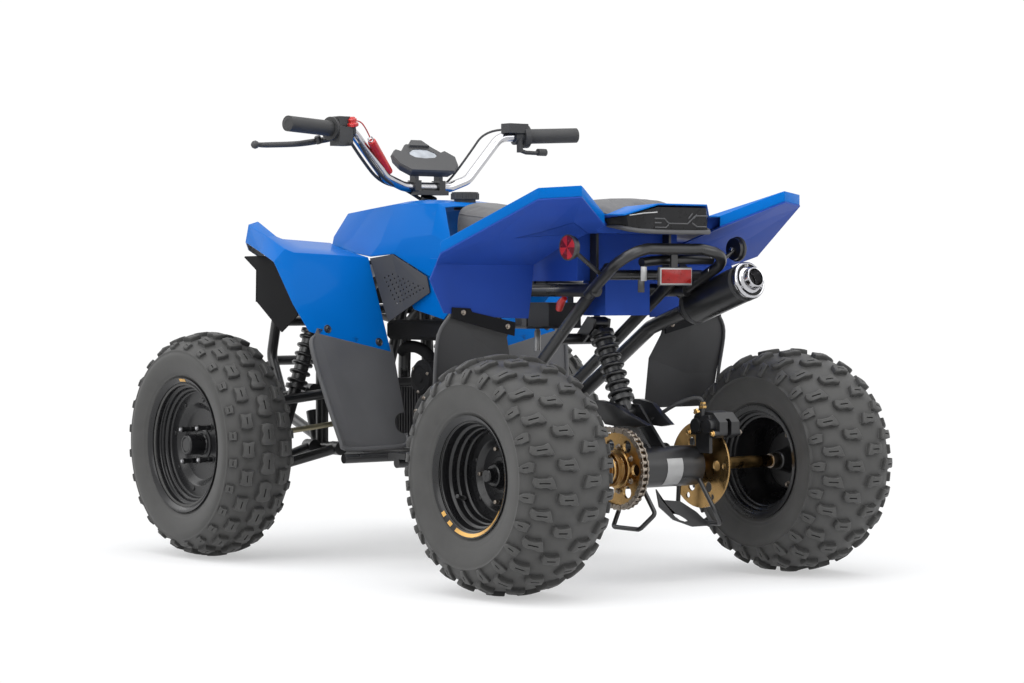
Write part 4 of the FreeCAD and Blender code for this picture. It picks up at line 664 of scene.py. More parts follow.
BAT = [(-24, 1), (-21, 13), (-11, 9), (4, 9.5), (15, 13), (20, 3), (25, -12), (15, -14), (5, -10), (-10, -11),
       (-19, -9)]
SHOULDER = [(-17, 10), (-6, 13), (8, 9), (17, 3), (16, -8), (2, -13), (-14, -11)]
SMALL = [(-9, 12), (0, 10), (9, 12), (10, 0), (9, -12), (0, -10), (-9, -12), (-10, 0)]
TALL = [(-13, 18), (0, 15), (13, 18), (11, 0), (14, -17), (0, -20), (-14, -17), (-11, 0)]
HOURGLASS = [(-12, 22), (0, 25), (12, 22), (15, 12), (12, 0), (18, -14), (15, -22), (0, -24), (-15, -22),
             (-18, -14), (-12, 0), (-15, 12)]
REAR_SECTION = [(102, -82), (115, -86.5), (128, -92), (146, -98.5), (162, -101.5), (176, -100), (188, -94.5),
                (198, -84.5), (206, -70.5), (212, -52), (216.5, -28), (218, 0)]
FRONT_SECTION = [(127.5, -61), (145, -65.7), (158, -74), (174, -80), (189.5, -82), (200, -78.5), (208, -73),
                 (220.6, -54), (227, -32), (232, 0)]


def make_tyres():
    bat, edge = scaled(BAT, 0.86), scaled(SHOULDER, 0.85)
    tall_lug, low_lug, bat_slot, edge_slot = 9.5, 6.5, (9.5, 1.4), (5, 1.2)
    rear_rows = []
    for t, outward, inward in ((27, 0.5, 0), (74, 0, 0.5)):
        rear_rows.append((t, outward, mirrored_lug(bat), tall_lug, bat_slot))
        rear_rows.append((-t, inward, bat, tall_lug, bat_slot))
    rear_rows += [(104, 0.5, edge, low_lug, edge_slot), (-104, 0, mirrored_lug(edge), low_lug, edge_slot)]
    front_rows = [(0, 0.5, scaled(HOURGLASS, 0.92), tall_lug, (1.3, 10))]
    for t in (43, -43):
        front_rows.append((t, 0, scaled(TALL, 0.88), tall_lug, (1.2, 8)))
        front_rows.append((t * 1.7, 0.5, scaled(SMALL, 0.8), low_lug, (1.0, 5)))
    for side, name in ((1, "left"), (-1, "right")):
        tyre("rear_tread_" + name, "rear_tyre_" + name, "rear_axle", side, REAR_CENTRE, whole(REAR_SECTION),
             rear_rows, 22, [(172, 2.0, 2.4), (122, 1.6, 1.2), (128, 1.2, 0.7)])
        tyre("front_tread_" + name, "front_tyre_" + name, "wheel_front_" + name, side, FRONT_CENTRE,
             whole(FRONT_SECTION), front_rows, 24, [(202, 1.8, 2.2), (150, 1.6, 1.0), (156, 1.2, 0.6)])


# Rims, axle and chain

REAR_STEPS = [
    (91, 115), (90.6, 113.4), (86.4, 104.8), (84.6, 103.2), (80, 102.6), (78.6, 100.6), (76, 99.6), (64, 98.6),
    (62.4, 97.2), (60.6, 93.6), (58, 92.8), (50, 92.2), (48.4, 91), (47, 88.4), (44, 87.6), (36, 87),
    (34.4, 86), (33, 84), (28, 83), (-20, 82.6)]
FRONT_STEPS = [
    (71, 144), (70.6, 142.4), (66.4, 134.4), (64.6, 132.8), (61, 132.4), (59.4, 130.4), (57, 129.2),
    (50, 128.6), (48.4, 127.2), (46.6, 122.6), (44.6, 121.4), (40, 120.8), (38.4, 119.4), (37, 116),
    (35, 115.2), (31, 114.8), (29.6, 113.6), (28.4, 110.4), (25, 109.4), (-14, 109)]
RIVET = [(-1, 0.1), (-1, 5), (1.2, 5), (2.4, 3.8), (2.4, 0.1)]


def rim_lathe(piece, centre, axis, visible, half, seat, flange):
    """A rim shell from the visible outer steps; the tyre side and the inboard half follow from them."""
    inboard = [(-along * 0.55 - half * 0.45, radius) for along, radius in reversed(visible[:-4])]
    wall = [(-half + 4, flange), (-half + 6, seat), (-half + 26, seat), (-half + 38, visible[-1][1] + 4),
            (visible[-1][0], visible[-1][1] + 4)]
    hidden = [(along - 2, radius + 4) for along, radius in reversed(visible[2:-1])]
    turned(piece, centre, axis, visible + inboard + [(-half, flange)] + wall + hidden + [(half - 4, flange)],
           "rim", 128)


def arc_band(piece, centre, first, last, line, steps):
    """A painted strip on the left of a wheel between two angles from straight down."""
    verts = []
    for i in range(steps + 1):
        turn = radians(first + (last - first) * i / steps)
        verts += [(centre[0] + radius * sin(turn), centre[1] + along, centre[2] - radius * cos(turn))
                  for along, radius in line]
    piece.add(verts, [(2 * i, 2 * i + 1, 2 * i + 3, 2 * i + 2) for i in range(steps)], "gilt")


def rear_rim(side, name):
    piece = Piece("rear_wheel_rim_" + name)
    x, y, z = REAR_CENTRE
    axis, centre = (0, side, 0), (x, y * side, z)
    rim_lathe(piece, centre, axis, REAR_STEPS, 91, 101.4, 115)
    turned(piece, centre, axis, [(22, 84), (22, 69), (20.5, 66.5), (13.5, 61.5), (12, 59.5), (12, 13), (8, 13),
                                 (8, 60), (18, 70), (18, 84)], "rim", 96)
    turned(piece, centre, axis, [(12, 1), (12, 27), (14, 27), (15, 24), (30, 23), (33.5, 21.5), (35, 19),
                                 (34, 14), (48, 13), (50.5, 11), (50.5, 1)], "rim")
    turned(piece, centre, axis, [(12, 28), (12, 36), (13.6, 36), (14.6, 34.6), (14.6, 28)], "rim")
    for spot in spots((x, (y + 12) * side, z), 50, 4):
        bolt(piece, spot, axis, 8.5, 10, "rim")
        turned(piece, spot, axis, [(8, 0.1), (8, 4.2), (17, 4.2), (18, 3.4), (18, 0.1)], "steel", 16)
    for spot in spots((x, (y + 22) * side, z), 74, 6, 20):
        turned(piece, spot, axis, RIVET, "rim", 16)
    valve = radians(212)
    stem = (0.45 * cos(valve), side, -0.45 * sin(valve))
    turned(piece, on_wheel(REAR_CENTRE, side, 88, 44, valve), stem, [
        (0, 0.1), (0, 5), (4, 5), (6, 3.4), (18, 3.2), (19, 4.2), (27, 4.0), (28, 0.1)], "rubber", 16)
    if name == "left":
        for first, last in ((50, 44.5), (37, 30.5), (23, -58)):
            arc_band(piece, REAR_CENTRE, first, last, ((90.8, 112.4), (87.4, 105.8)), 24)
        arc_band(piece, REAR_CENTRE, -58, -96, ((90.8, 112.4), (90.2, 111.4)), 16)
    piece.make("rear_axle", "rear_rim_" + name, 24)


def front_rim(side, name):
    piece = Piece("front_wheel_rim_" + name)
    x, y, z = FRONT_CENTRE
    axis, centre = (0, side, 0), (x, y * side, z)
    rim_lathe(piece, centre, axis, FRONT_STEPS, 71, 126.8, 144.6)
    turned(piece, centre, axis, [(29, 111), (28.4, 90), (26, 86), (19, 80), (17, 76), (17, 20), (13, 20),
                                 (13, 76), (24, 90), (24, 111)], "rim", 96)
    turned(piece, centre, axis, [(12, 12), (12, 34), (19, 34), (21, 30), (21, 24), (23, 22.4), (57, 21.4),
                                 (60, 19.4), (60, 16.6), (58, 15.6), (58, 11.4)], "rim")
    turned(piece, centre, axis, [(57, 0.1), (57, 14.6), (58.4, 14.6), (59, 13.8), (59, 0.1)], "rim")
    for spot in spots((x, (y + 17) * side, z), 48, 4, 40):
        bolt(piece, spot, axis, 9, 12, "rim")
        turned(piece, spot, axis, [(10, 0.1), (10, 5), (26, 5), (27, 6.4), (33, 6.4), (34, 5.4), (34, 0.1)],
               "frame", 16)
        turned(piece, spot, axis, [(33, 0.1), (33, 3.6), (36, 3.4), (36.6, 0.1)], "chrome", 12)
    for spot in spots((x, (y + 28.6) * side, z), 98, 8, 12):
        turned(piece, spot, axis, RIVET, "rim", 16)
    if name == "left":
        arc_band(piece, FRONT_CENTRE, 186, 176, ((70.8, 141.6), (67.6, 135.6)), 6)
    piece.make("wheel_front_" + name, "front_rim_" + name, 24)


def rear_axle():
    piece = Piece("rear_axle_shaft")
    centre, hub = (0, 0, AXLE_Z), 360
    turned(piece, centre, (0, 1, 0), rod(-400, 400, 12), "gold")
    ribs = [(127, 11)]
    for k in range(7):
        start = 128 + 5.4 * k
        ribs += [(start, 14.2), (start + 0.8, 15.6), (start + 3.2, 15.6), (start + 4.0, 14.2)]
    turned(piece, centre, (0, 1, 0), ribs + [(170, 13.4), (176, 12.6), (176, 11)], "gold")
    for side in (1, -1):
        turned(piece, centre, (0, side, 0), [
            (328, 11), (328, 17), (330, 19.5), (358, 25.5), (hub, 27), (hub, 58), (361.5, 60), (366.5, 60),
            (368, 58.5), (368, 11)], "frame", 64)
        turned(piece, centre, (0, side, 0), [(308, 11), (308, 14.5), (310, 15.5), (326, 15.5), (328, 14)],
               "steel", 32)
        bolts(piece, spots((0, hub * side, AXLE_Z), 50, 4), (0, -side, 0), 7, 7)
    piece.make("rear_axle", "rear_axle", 35)


def sprocket_trim():
    """Bolts and stepped hub rings on the sprocket and the brake disc."""
    piece = Piece("axle_hub_trim")
    for y, side, radius, size in ((116, 1, 24, 5.2), (89, 1, 43, 6), (-156, -1, 22, 5)):
        bolts(piece, spots((0, y, AXLE_Z), radius, 6, 30), (0, side, 0), size, 6)
    for ring in ([(89, 26), (89, 37), (91, 38.4), (94, 38.4), (96, 37), (98, 29.5), (104, 28.4), (104, 26)],
                 [(119, 20), (119, 30.4), (121, 31.4), (124, 30.4), (126, 20)]):
        turned(piece, (0, 0, AXLE_Z), (0, 1, 0), ring, "gold", 64)
    piece.make("rear_axle", None, 35)


CHAIN_PITCH = 12.7
CHAIN_Y = 86
REAR_TEETH, FRONT_TEETH = 37, 14
FRONT_SPROCKET = (500.0, 42.0)


def chain_line():
    """Pin places round both sprockets, as X and Z from the rear axle."""
    rear_r, front_r = (CHAIN_PITCH / 2 / sin(pi / teeth) for teeth in (REAR_TEETH, FRONT_TEETH))
    span, lean = hypot(*FRONT_SPROCKET), atan2(FRONT_SPROCKET[1], FRONT_SPROCKET[0])
    opening = acos((rear_r - front_r) / span)
    straight = span * sin(opening)
    rear_arc, front_arc = rear_r * (2 * pi - 2 * opening), front_r * 2 * opening
    total = rear_arc + front_arc + 2 * straight

    def on_rear(turn):
        return Vector((rear_r * cos(turn), rear_r * sin(turn)))

    def on_front(turn):
        return Vector((span + front_r * cos(turn), front_r * sin(turn)))

    count = round(total / CHAIN_PITCH / 2) * 2
    places = []
    for k in range(count):
        s = total * k / count
        if s < rear_arc:
            x, z = on_rear(opening + s / rear_r)
        elif s < rear_arc + straight:
            x, z = on_rear(-opening).lerp(on_front(-opening), (s - rear_arc) / straight)
        elif s < total - straight:
            x, z = on_front((s - rear_arc - straight) / front_r - opening)
        else:
            x, z = on_front(opening).lerp(on_rear(opening), (s - total + straight) / straight)
        places.append((x * cos(lean) - z * sin(lean), x * sin(lean) + z * cos(lean)))
    return places


def link_plate(piece, a, b, y, thick):
    """A waisted side plate between two pins."""
    ax, az = a
    bx, bz = b
    length = hypot(bx - ax, bz - az)
    ux, uz = (bx - ax) / length, (bz - az) / length
    end_r, waist = 5.6, 4.1
    outline = []
    for middle, turn in ((length, -90), (0, 90)):
        for k in range(7):
            angle = radians(turn + 30 * k)
            outline.append((middle + end_r * cos(angle), end_r * sin(angle)))
        outline.append((length / 2, waist if turn < 0 else -waist))
    verts = []
    for level in (y - thick / 2, y + thick / 2):
        verts += [(ax + ux * u - uz * v, level, AXLE_Z + az + uz * u + ux * v) for u, v in outline]
    piece.add(verts, capped(2, len(outline)), "steel")


def chain():
    """Rollers and pins, with inner and outer side plates by turns."""
    piece = Piece("chain_links")
    places = chain_line()
    for k, a in enumerate(places):
        pin = (a[0], CHAIN_Y, AXLE_Z + a[1])
        turned(piece, pin, (0, 1, 0), rod(-4.2, 4.2, 4.2, 1), "steel", 10)
        turned(piece, pin, (0, 1, 0), rod(-8.6, 8.6, 2), "steel", 8)
        offset = 5.2 if k % 2 else 7.0
        for sign in (1, -1):
            link_plate(piece, a, places[(k + 1) % len(places)], CHAIN_Y + sign * offset, 1.6)
    piece.make("chassis", "chain")


# Cords

def cord(name, route, diameter, body, replaces, slot="rubber"):
    """A NURBS curve over the route's points of the part, as a round cable."""
    curve = configure(bpy.data.curves.new(name, "CURVE"), dimensions="3D", resolution_u=16,
                      bevel_depth=diameter / 2000, bevel_resolution=4, use_fill_caps=True)
    line = curve.splines.new("NURBS")
    line.points.add(len(route) - 1)
    for point, place in zip(line.points, route):
        point.co = (*metres(place), 1.0)
    configure(line, order_u=3, use_endpoint_u=True)
    curve.materials.append(MAT[slot])
    thing = linked(name, curve)
    register(thing, body, replaces)


def make_cords():
    bar, cables = "steering", "control_cables"
    cord("brake_lever_hose", [
        (716, 232, 886), (735, 190, 850), (772, 120, 806), (782, 50, 794), (777, 18, 777), (767, 8, 767)],
        7, bar, cables)
    cord("switch_loom", [
        (700, 220, 884), (724, 176, 842), (758, 104, 802), (776, 44, 789), (770, 20, 774), (762, 12, 767)],
        7, bar, cables)
    cord("throttle_cable", [
        (730, -176, 926), (742, -140, 922), (756, -112, 876), (780, -72, 812), (786, -40, 791), (779, -16, 777),
        (768, -8, 767)], 5, bar, cables)
    cord("caliper_hose", [
        (-40, -92, 350.3), (-40, -92, 366.3), (-10, -60, 356), (46, -38, 320), (110, -32, 288)],
        8, "chassis", "brake_hose")
    cord("lanyard_cord", [(741, 166, 900), (738, 178, 918), (730, 200, 934), (729, 219, 932)],
         3, bar, "lanyard", "red_plastic")


def make_lanyard():
    """Ribbed sleeve with its split ring, and the spool-shaped key on the stop switch."""
    sleeve = Piece("lanyard_sleeve")
    low, high = Vector((770, 96, 826)), Vector((744, 160, 892))
    axis, span = (high - low).normalized(), (high - low).length
    profile = [(0, 0.2), (0, 6.8), (1.2, 8.8), (3.5, 9.5)]
    for k in range(int((span - 10) / 2)):
        profile += [(4.5 + 2 * k, 9.5), (5.5 + 2 * k, 9.25)]
    profile += [(span - 4, 9.5), (span - 1.2, 8.8), (span, 6.8), (span - 2.5, 5.4), (span - 2.5, 0.2)]
    turned(sleeve, low, axis, profile, "red_plastic", 32)
    ring_radius, wire, sides = 6, 1.5, 10
    turns = [2 * pi * k / sides for k in range(sides)]
    ring = [(wire * sin(turn), ring_radius + wire * cos(turn)) for turn in turns]
    turned(sleeve, high + axis * 4, (1, 0, 0), ring, "chrome", 24)
    sleeve.make("steering", "lanyard")
    key = Piece("stop_key")
    foot, top = Vector((733, 213, 905)), Vector((729, 219, 937))
    tall = (top - foot).length
    turned(key, foot, top - foot, rod(0, tall - 17, 6, 0.2), "rubber", 24)
    turned(key, top, top - foot, [
        (-18, 0.2), (-18, 10.6), (-16.6, 12.4), (-11.4, 12.5), (-10, 11), (-9, 8.6), (-6, 8.2), (-5, 9.4),
        (-1.4, 9.4), (-0.4, 8), (0.4, 6.2), (2.4, 5.8), (3, 4.8), (3, 0.2)], "red_plastic", 32)
    key.make("steering", "kill_key")


# Seat

SEAT_ROWS = [(16, 84, 716), (22, 91, 731), (38, 103, 743), (60, 113, 749), (110, 118, 748), (200, 118, 740),
             (280, 111, 736), (360, 100, 734), (420, 90, 738), (480, 80, 744), (530, 72, 750), (562, 66, 753),
             (572, 58, 744)]
SEAT_BASE = 688.8
SEAT_SIDE = [(0.93, 0.0), (0.985, 0.10), (1.0, 0.34), (0.985, 0.58), (0.945, 0.74), (0.87, 0.87),
             (0.70, 0.96), (0.38, 1.005), (0.0, 1.02)]
VOXEL, LARGEST_MOVE, HELD_HEIGHT = 0.005, 0.005, 3
CLOTH_FRAMES = 20


def seat_ring(x, half, top):
    """One closed station: flat below, drawn in at the welt, crowned above."""
    left = [(x, half * u, SEAT_BASE + (top - SEAT_BASE) * v) for u, v in SEAT_SIDE]
    return left + mirrored(reversed(left[:-1]))


def inflate(thing):
    """Voxel remesh, cloth under pressure with its flat underside held, and a capped move."""
    configure(thing.modifiers.new("voxels", "REMESH"), mode="VOXEL", voxel_size=VOXEL)
    settled = settle(thing)
    held = thing.vertex_groups.new(name="held")
    floor = (SEAT_BASE + HELD_HEIGHT) / 1000
    held.add([v.index for v in settled.vertices if v.co.z < floor], 1.0, "REPLACE")
    start = [v.co.copy() for v in settled.vertices]
    cloth = thing.modifiers.new("cloth", "CLOTH")
    configure(cloth.settings, vertex_group_mass="held", use_pressure=True, uniform_pressure_force=4.0)
    cloth.settings.effector_weights.gravity = 0.0
    configure(cloth.point_cache, frame_start=1, frame_end=CLOTH_FRAMES)
    for number in range(1, CLOTH_FRAMES + 1):
        SCENE.frame_set(number)
    for vertex, before in zip(settle(thing).vertices, start):
        move = vertex.co - before
        if move.length > LARGEST_MOVE:
            vertex.co = before + move * (LARGEST_MOVE / move.length)
        vertex.co.z = max(vertex.co.z, SEAT_BASE / 1000)
    thing.vertex_groups.clear()
    SCENE.frame_set(1)


def make_seat():
    rings = [seat_ring(*row) for row in spline(SEAT_ROWS, 4)]
    faces = capped(len(rings), len(rings[0]))
    pad = linked("seat_pad", closed_mesh("seat_pad", sum(rings, []), faces, ["seat"] * len(faces)))
    inflate(pad)
    pad.data.materials.clear()
    pad.data.materials.append(MAT["seat"])
    pad.data.shade_smooth()
    configure(pad.modifiers.new("smooth", "SUBSURF"), levels=1, render_levels=1)
    register(pad, "chassis", "seat")
    welt_out, welt_up, thread_gap = 0.97, 0.72, (3.2, 2.6)
    seams = Piece("seat_seams")
    for sign in (1, -1):
        line = []
        for x, half, top in spline(SEAT_ROWS[1:-1], 6):
            welt = metres((x, sign * half * welt_out, SEAT_BASE + (top - SEAT_BASE) * welt_up))
            line.append(millimetres(pad.closest_point_on_mesh(welt)[1]))
        swept(seams, line, 1.7, "seat", 8, 0)
        thread = [Vector((x, y - sign * thread_gap[0], z + thread_gap[1])) for x, y, z in line]
        for a, b in zip(thread, thread[1:]):
            swept(seams, [a, (a + b) / 2], 0.55, "plastic", 6, 0)
    seams.make("chassis")


# Tail and exhaust

def make_tail():
    """Relief lines and lower rail of the lamp housing, and a grey strip painted as the highlight along its
    upper edge.
    """
    piece = Piece("tail_lamp_trim_and_highlight")
    for line in ([(67, 712), (43, 712), (31, 703), (-17, 703), (-35, 718.5), (-66, 718.5)],
                 [(64, 695), (37, 695), (31, 701)], [(-28, 704.5), (-42, 697.5), (-66, 697.5)],
                 [(-18, 713), (-27, 723)], [(-31, 713), (-38, 721)], [(66, 704), (50, 704)]):
        swept(piece, [((734 - z) * 6 / 44 - 84.6, y, z) for y, z in line], 1.5, "shield", 6, 0)
    # Painted highlight: a thin grey strip along the housing's upper edge, from the side round to the rear.
    swept(piece, [(-47, 101, 718), (-66, 82, 722), (-84, 62, 724)], 1.2, "grey", 6, 0)
    rail = [(6, 113, 699), (-20, 107, 696), (-42, 101, 692), (-62, 86, 688.5), (-79, 69, 687),
            (-81, 30, 686.5)]
    radii = [2.5, 4.6, 4.8, 4.6, 4.6, 4.6]
    swept(piece, rail + mirrored(reversed(rail)), radii + radii[::-1], "shield", 8, 3)
    bolts(piece, [(-30, y, 694) for y in (84, 46, -20, -84)], (0, 0, -1), 4, 4, "chrome")
    piece.make("chassis", None, 50)


def sectored_lens(piece, middle, sign, radius, sectors):
    """A disc of raised sectors of one red lens, each a fan with a sloping rim; every other sector is darker as
    painted shade and the rest lighter as painted highlight.
    """
    steps = 6
    top, edge = Vector((0, sign * 1.6, 0)), Vector((0, sign * 1.3, 0))
    for k in range(sectors):
        verts = [middle + top]
        for i in range(steps + 1):
            angle = 2 * pi * (k + i / steps) / sectors
            reach = Vector((cos(angle), 0, sin(angle)))
            verts += [middle + reach * radius, middle + reach * (radius - 1.2) + edge]
        faces = []
        for a in range(1, 2 * steps, 2):
            faces += [(a, a + 2, a + 3, a + 1), (0, a + 1, a + 3)]
        # Painted light and shade: alternate sectors take a lighter and a darker red.
        piece.add(verts, faces, "red_plastic" if k % 2 else "lens_dark")


def make_reflectors():
    """Sectored discs in grey rims and the oblong lens in its pale frame."""
    piece = Piece("reflector_lenses")
    for sign in (1, -1):
        turned(piece, (-3, sign * 213, 656), (0, sign, 0), [
            (0.3, 0.2), (0.3, 23.5), (1.5, 25), (5.4, 25), (6.4, 24.4), (6.4, 23), (4, 23), (4, 0.2)],
            "plastic")
        sectored_lens(piece, Vector((-3, sign * 218, 656)), sign, 23.2, 8)
    block(piece, (-64.5, -43, 583), (-59, 42, 619), "plastic", 1.2)
    block(piece, (-66.5, -41, 585), (-64, 40, 617), "grey", 0.8)
    block(piece, (-68.4, -38, 587.5), (-65.5, 37, 614.5), "red", 0.8)
    piece.make("chassis", "reflectors")


def make_loop_fittings():
    """Cross tube, bolts and tab of the grab loop, and the boot of the relay."""
    piece = Piece("loop_fittings")
    swept(piece, [(-34, 60, 628), (-34, 20, 632), (-34, -60, 634), (-30, -122, 634)], 9.5, "frame", 16, 4)
    bolts(piece, [(-38, -118, 641), (-24, -126, 614)], (-1, 0, 0), 7, 7, "chrome")
    for sign in (1, -1):
        bolt(piece, (6, sign * 128, 604), (0, sign, 0), 8, 8, "chrome")
        bolt(piece, (-3, sign * 212, 656), (0, -sign, 0), 6, 14, "chrome")
    block(piece, (-52, 61, 592), (-49, 76, 620), "grey", 0.8)
    block(piece, (-51, 66, 570), (-48, 82, 594), "frame", 0.8)
    piece.make("chassis")
    boot = Piece("relay_boot")
    swept(boot, [(180, 94, 536), (170, 98, 547), (158, 101, 555), (150, 102, 558)], [7, 8.5, 6.5, 4.5],
          "red_plastic", 14, 4)
    boot.make("chassis")


def make_exhaust_end():
    """Stepped chrome outlet in the silencer's end cap, with its three screws and the barrel's bands."""
    piece = Piece("silencer_trim")
    start, end = Vector((66, -160, 540)), Vector((-98, -160, 593))
    axis = (end - start).normalized()
    turned(piece, end, axis, [(-3, 33), (-3, 37.6), (1, 38.2), (4.6, 37), (6.4, 34.6), (5.6, 32.6), (1, 32)],
           "chrome", 64)
    turned(piece, end, axis, [(-1, 16), (-1, 33), (1.6, 33), (2.2, 26), (2.2, 16)], "gloss", 64)
    turned(piece, end, axis, [
        (1, 17), (2.4, 27), (5, 27.4), (8.6, 25), (10, 22.4), (14, 21.4), (22.6, 21), (24, 20), (23.4, 17.4),
        (3, 16.6)], "chrome", 64)
    bolts(piece, circle(end + axis * 2, *frame_for(axis), 29.6, 3, pi / 2), axis, 4.4, 5, "chrome")
    for along in (8, 158):
        turned(piece, start, axis, rod(along - 4, along + 4, 37.6, 36.6), "plastic", 64)
    piece.make("chassis", "muffler_tip")


# Screws, rims and lamps on the bodywork and the bar

def on_surface(thing, start, heading):
    """Where a line meets a piece, with the normal there turned back against the line."""
    place, normal = thing.ray_cast(metres(start), Vector(heading))[1:3]
    return millimetres(place), normal * (-1 if normal.dot(Vector(heading)) > 0 else 1)


def make_body_screws():
    """Flanged screws sunk in the front fenders and plugs in the rear wings."""
    piece = Piece("body_screws")
    fender, wing = bpy.data.objects["front_fender_skin"], bpy.data.objects["rear_fender_skin"]
    for side in (1, -1):
        for y, z in ((292, 491.5), (166, 462.5)):
            spot, normal = on_surface(fender, (500, side * y, z), (1, 0, 0))
            turned(piece, spot, normal, [(-1, 9), (0.6, 9), (1.2, 8), (0.2, 6.4), (-1, 6.4)], "frame", 32)
            turned(piece, spot, normal, [
                (-0.5, 0.2), (-0.5, 6.2), (1.6, 5.8), (2.8, 4), (3, 2.2), (1, 2), (1, 0.2)], "frame", 24)
        spot, normal = on_surface(wing, (-13, side * 700, 697), (0, -side, 0))
        turned(piece, spot, normal, [(-1, 0.2), (-1, 8), (2, 7.6), (3.4, 5), (3.4, 0.2)], "rubber", 24)
    piece.make("chassis")


def make_leg_shield_rims():
    rims = Piece("leg_shield_rims")
    line = [(-266, 322, 478), (-275, 338, 456), (-302, 320, 352), (-327, 301, 262), (-330.5, 296, 246),
            (-331.5, 270, 241), (-331.5, 200, 241), (-329.5, 138, 245), (-324, 129, 266)]
    radii = [3] + [5.2] * (len(line) - 2) + [3]
    for route in (fwd(line), fwd(mirrored(line))):
        swept(rims, route, radii, "shield", 10, 5)
    rims.make("chassis")


def make_lever_blade():
    """Blade cover and ball of the brake lever, its perch, and the caps in the ends of the grips."""
    piece = Piece("lever_blade")
    swept(piece, [(792, 222, 900), (801, 236, 895), (808, 300, 884), (810, 380, 879), (810.5, 404, 878.6)],
          [5.2, 6.6, 6.3, 6.0, 4.6], "plastic", 16)
    turned(piece, (810.5, 409.7, 878.6), (0, 1, 0), [
        (-9, 0.2), (-8, 4.2), (-5, 7.4), (0, 9), (5, 7.4), (8, 4.2), (9, 0.2)], "plastic", 24)
    turned(piece, (796, 262, 896), (0, 0.4, 1), [(-12, 0.2), (-12, 6), (-9, 7), (4, 7), (6, 5), (6, 0.2)],
           "frame", 20)
    for side in (1, -1):
        axis = (-0.198, side * 0.979, 0.043)
        turned(piece, (725, side * 380, 920), axis, [
            (2, 0.2), (2, 7), (4.4, 7.6), (4.4, 13.4), (3, 15.4), (1, 15.8), (0, 12), (0, 0.2)], "rubber", 32)
        turned(piece, (724.4, side * 382, 920), axis, [(0, 0.2), (0, 4), (1.4, 3), (1.4, 0.2)], "chrome", 20)
    piece.make("steering")


def make_headlights():
    """Black rims round lenses with stepped rings."""
    piece = Piece("headlight_lenses")
    lens = [(0, 0.2), (0, 33.2)]
    for k in range(9):
        rise, fall = 0.25 * k, 3.4 * k
        lens += [(0.4 + rise, 33 - fall), (1.5 + rise, 31.4 - fall), (0.6 + rise, 29.8 - fall)]
    for face in fwd([(197, 121, 598), (197, -121, 598)]):
        axis = (21, copysign(3, face[1]), 2)
        turned(piece, face, axis, [
            (-4, 35.4), (-4, 37.6), (1, 38.2), (4, 36.8), (5, 34.4), (1, 33.4), (-2, 33.2)], "gloss", 64)
        turned(piece, face, axis, lens + [(4, 2), (4, 0.2)], "clear", 64)
    piece.make("chassis")


# Fittings round the engine, the caliper and the swingarm

def make_caliper_fittings():
    """Hose fitting, bleed nipple and screws of the caliper, and the grey patch on the axle carrier."""
    piece = Piece("caliper_fittings")
    turned(piece, (-40, -92, 342), (0, 0, 1), [
        (0, 0.2), (0, 7.4), (1.4, 8), (5, 8), (5.4, 6.2), (12, 6.2), (12.6, 5.2), (12.6, 0.2)], "brass", 6)
    turned(piece, (-14, -100, 331), (0.3, 0.2, 1), [
        (0, 0.2), (0, 6.5), (4, 7), (5, 5), (9, 4.6), (9, 0.2)], "brass", 6)
    bolts(piece, [(-80, -83, 294), (-10, -83, 294)], (0, 1, 0), 6, 5, "brass")
    bolts(piece, [(-80, -153, 294), (-10, -153, 294)], (0, -1, 0), 6, 5)
    band_radius, steps = 40.9, 12
    turns = [radians(154 + 7 * k) for k in range(steps + 1)]
    verts = []
    for y in (-42, -2):
        verts += [(band_radius * cos(turn), y, AXLE_Z + band_radius * sin(turn)) for turn in turns]
    piece.add(verts, [(k, k + 1, steps + 2 + k, steps + 1 + k) for k in range(steps)], "grey")
    piece.make("chassis")


def make_engine_trim():
    """Stepped covers on the left of the cases, each with its ring of screws."""
    piece = Piece("engine_trim")
    turned(piece, (604, 104, 296), (0, 1, 0), [
        (-1, 60.4), (-1, 62), (2, 62), (4, 58), (4, 46), (7, 43), (7, 22), (4, 20), (4, 0.2), (-1, 0.2)],
        "engine", 64)
    bolts(piece, spots((604, 108, 296), 53, 8, 22) + spots((512, 68, 301), 54, 8, 25)[:7], (0, 1, 0), 5, 5)
    turned(piece, (512, 68, 301), (0, 1, 0), [
        (-1, 64), (-1, 66), (3, 65), (3, 60), (1, 58), (1, 30), (5, 28), (5, 0.2), (-1, 0.2)], "engine", 64)
    piece.make("chassis")


def make_intake():
    """Tray, duct and filter drum over the engine, and the bright sleeve behind them."""
    piece = Piece("intake_parts")
    block(piece, (600, -78, 466), (812, 78, 508), "liner", 8)
    swept(piece, [(812, 34, 438), (784, 38, 449), (740, 40, 448), (704, 38, 432), (686, 34, 404)],
          [11, 13, 13, 13, 12], "liner", 16, 6)
    turned(piece, (654, 82, 386), (0, 1, 0), [
        (-50, 0.2), (-50, 32), (-46, 35), (4, 37), (5, 39), (9, 39), (10, 36.5), (15, 34), (17, 27), (14, 24),
        (14, 10), (17, 8), (17, 0.2)], "liner")
    bolts(piece, spots((654, 98, 386), 30, 3, 40), (0, 1, 0), 3.6, 3)
    turned(piece, (371, 0, 448), (0, 0, 1), [
        (0, 0.2), (0, 5.6), (2, 6.6), (40, 6.6), (42, 5), (50, 5), (50, 0.2)], "grey", 24)
    piece.make("chassis")


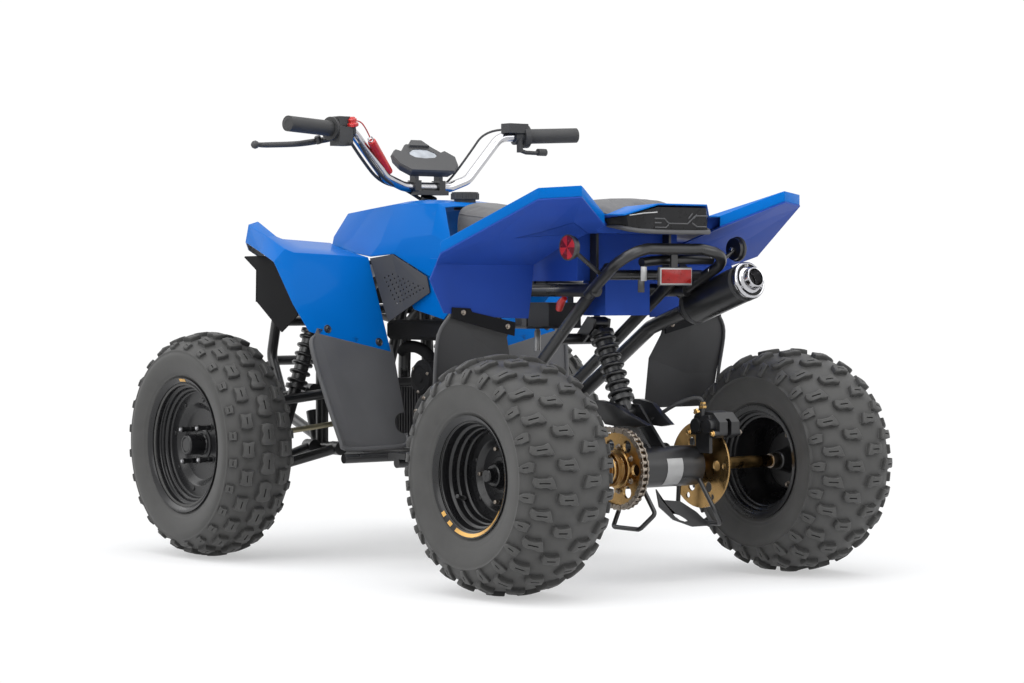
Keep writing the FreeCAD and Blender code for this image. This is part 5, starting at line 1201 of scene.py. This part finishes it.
def make_arm_gussets():
    piece = Piece("arm_gussets")
    outline = [(124, 58, 356), (99, 58, 357), (54, 54, 350), (24, 48, 333), (-23, 36, 311), (11, 42, 306),
               (56, 52, 307), (84, 56, 310), (107, 58, 334)]
    for side in (1, -1):
        plate(piece, outline, side, 13, 1.5, "frame", reach=24)
    piece.make("chassis", None, 30)


def make_disc_guard():
    """The slotted plate under the brake disc."""
    piece = Piece("disc_guard_plate")
    rim = [(21, 187), (13, 152), (-23, 125), (-72, 109), (-119, 109), (-82, 138), (-40, 161), (8, 166)]
    slot = [(-21, 137), (-26, 132), (-39, 124), (-54, 120), (-62, 121), (-52, 127), (-40, 133), (-30, 136)]
    rear, front = -34, -30
    verts = []
    for x, ring in ((rear, rim), (front, rim), (front, slot), (rear, slot)):
        verts += [(x, y, z) for y, z in ring]
    piece.add(verts, ring_faces(4, len(rim), True), "frame")
    piece.make("chassis", None, 30)


def make_heel_guard_straps():
    piece = Piece("heel_guard_straps")
    outline = [(346, 541), (304, 539), (300, 532), (194, 511), (196, 484), (260, 499), (347, 520)]
    rear, front = 192, 196.5
    for side in (1, -1):
        verts = [(x, side * y, z) for x in (rear, front) for y, z in outline]
        piece.add(verts, capped(2, len(outline)), "liner")
        bolts(piece, [(rear, side * 321, 531), (rear, side * 213, 503)], (-1, 0, 0), 5.6, 4)
        edge = [(201, 343, 528), (208, 369, 488), (222, 368, 410), (230, 362, 334)]
        swept(piece, edge if side > 0 else mirrored(edge), 3.6, "shield", 8, 5)
    piece.make("chassis", None, 30)


make_camera()
make_cords()
make_light()
make_floor()
finish_nodes()
make_lanyard()
make_seat()
make_tail()
make_reflectors()
make_loop_fittings()
make_exhaust_end()
make_caliper_fittings()
make_engine_trim()
make_tank()
make_front_fenders()
make_rear_fender()
make_intake()
make_arm_gussets()
make_disc_guard()
make_heel_guard_straps()
make_body_screws()
make_leg_shield_rims()
make_lever_blade()
make_headlights()
make_tyres()
for wheel_side, wheel_name in ((1, "left"), (-1, "right")):
    rear_rim(wheel_side, wheel_name)
    front_rim(wheel_side, wheel_name)
rear_axle()
sprocket_trim()
chain()
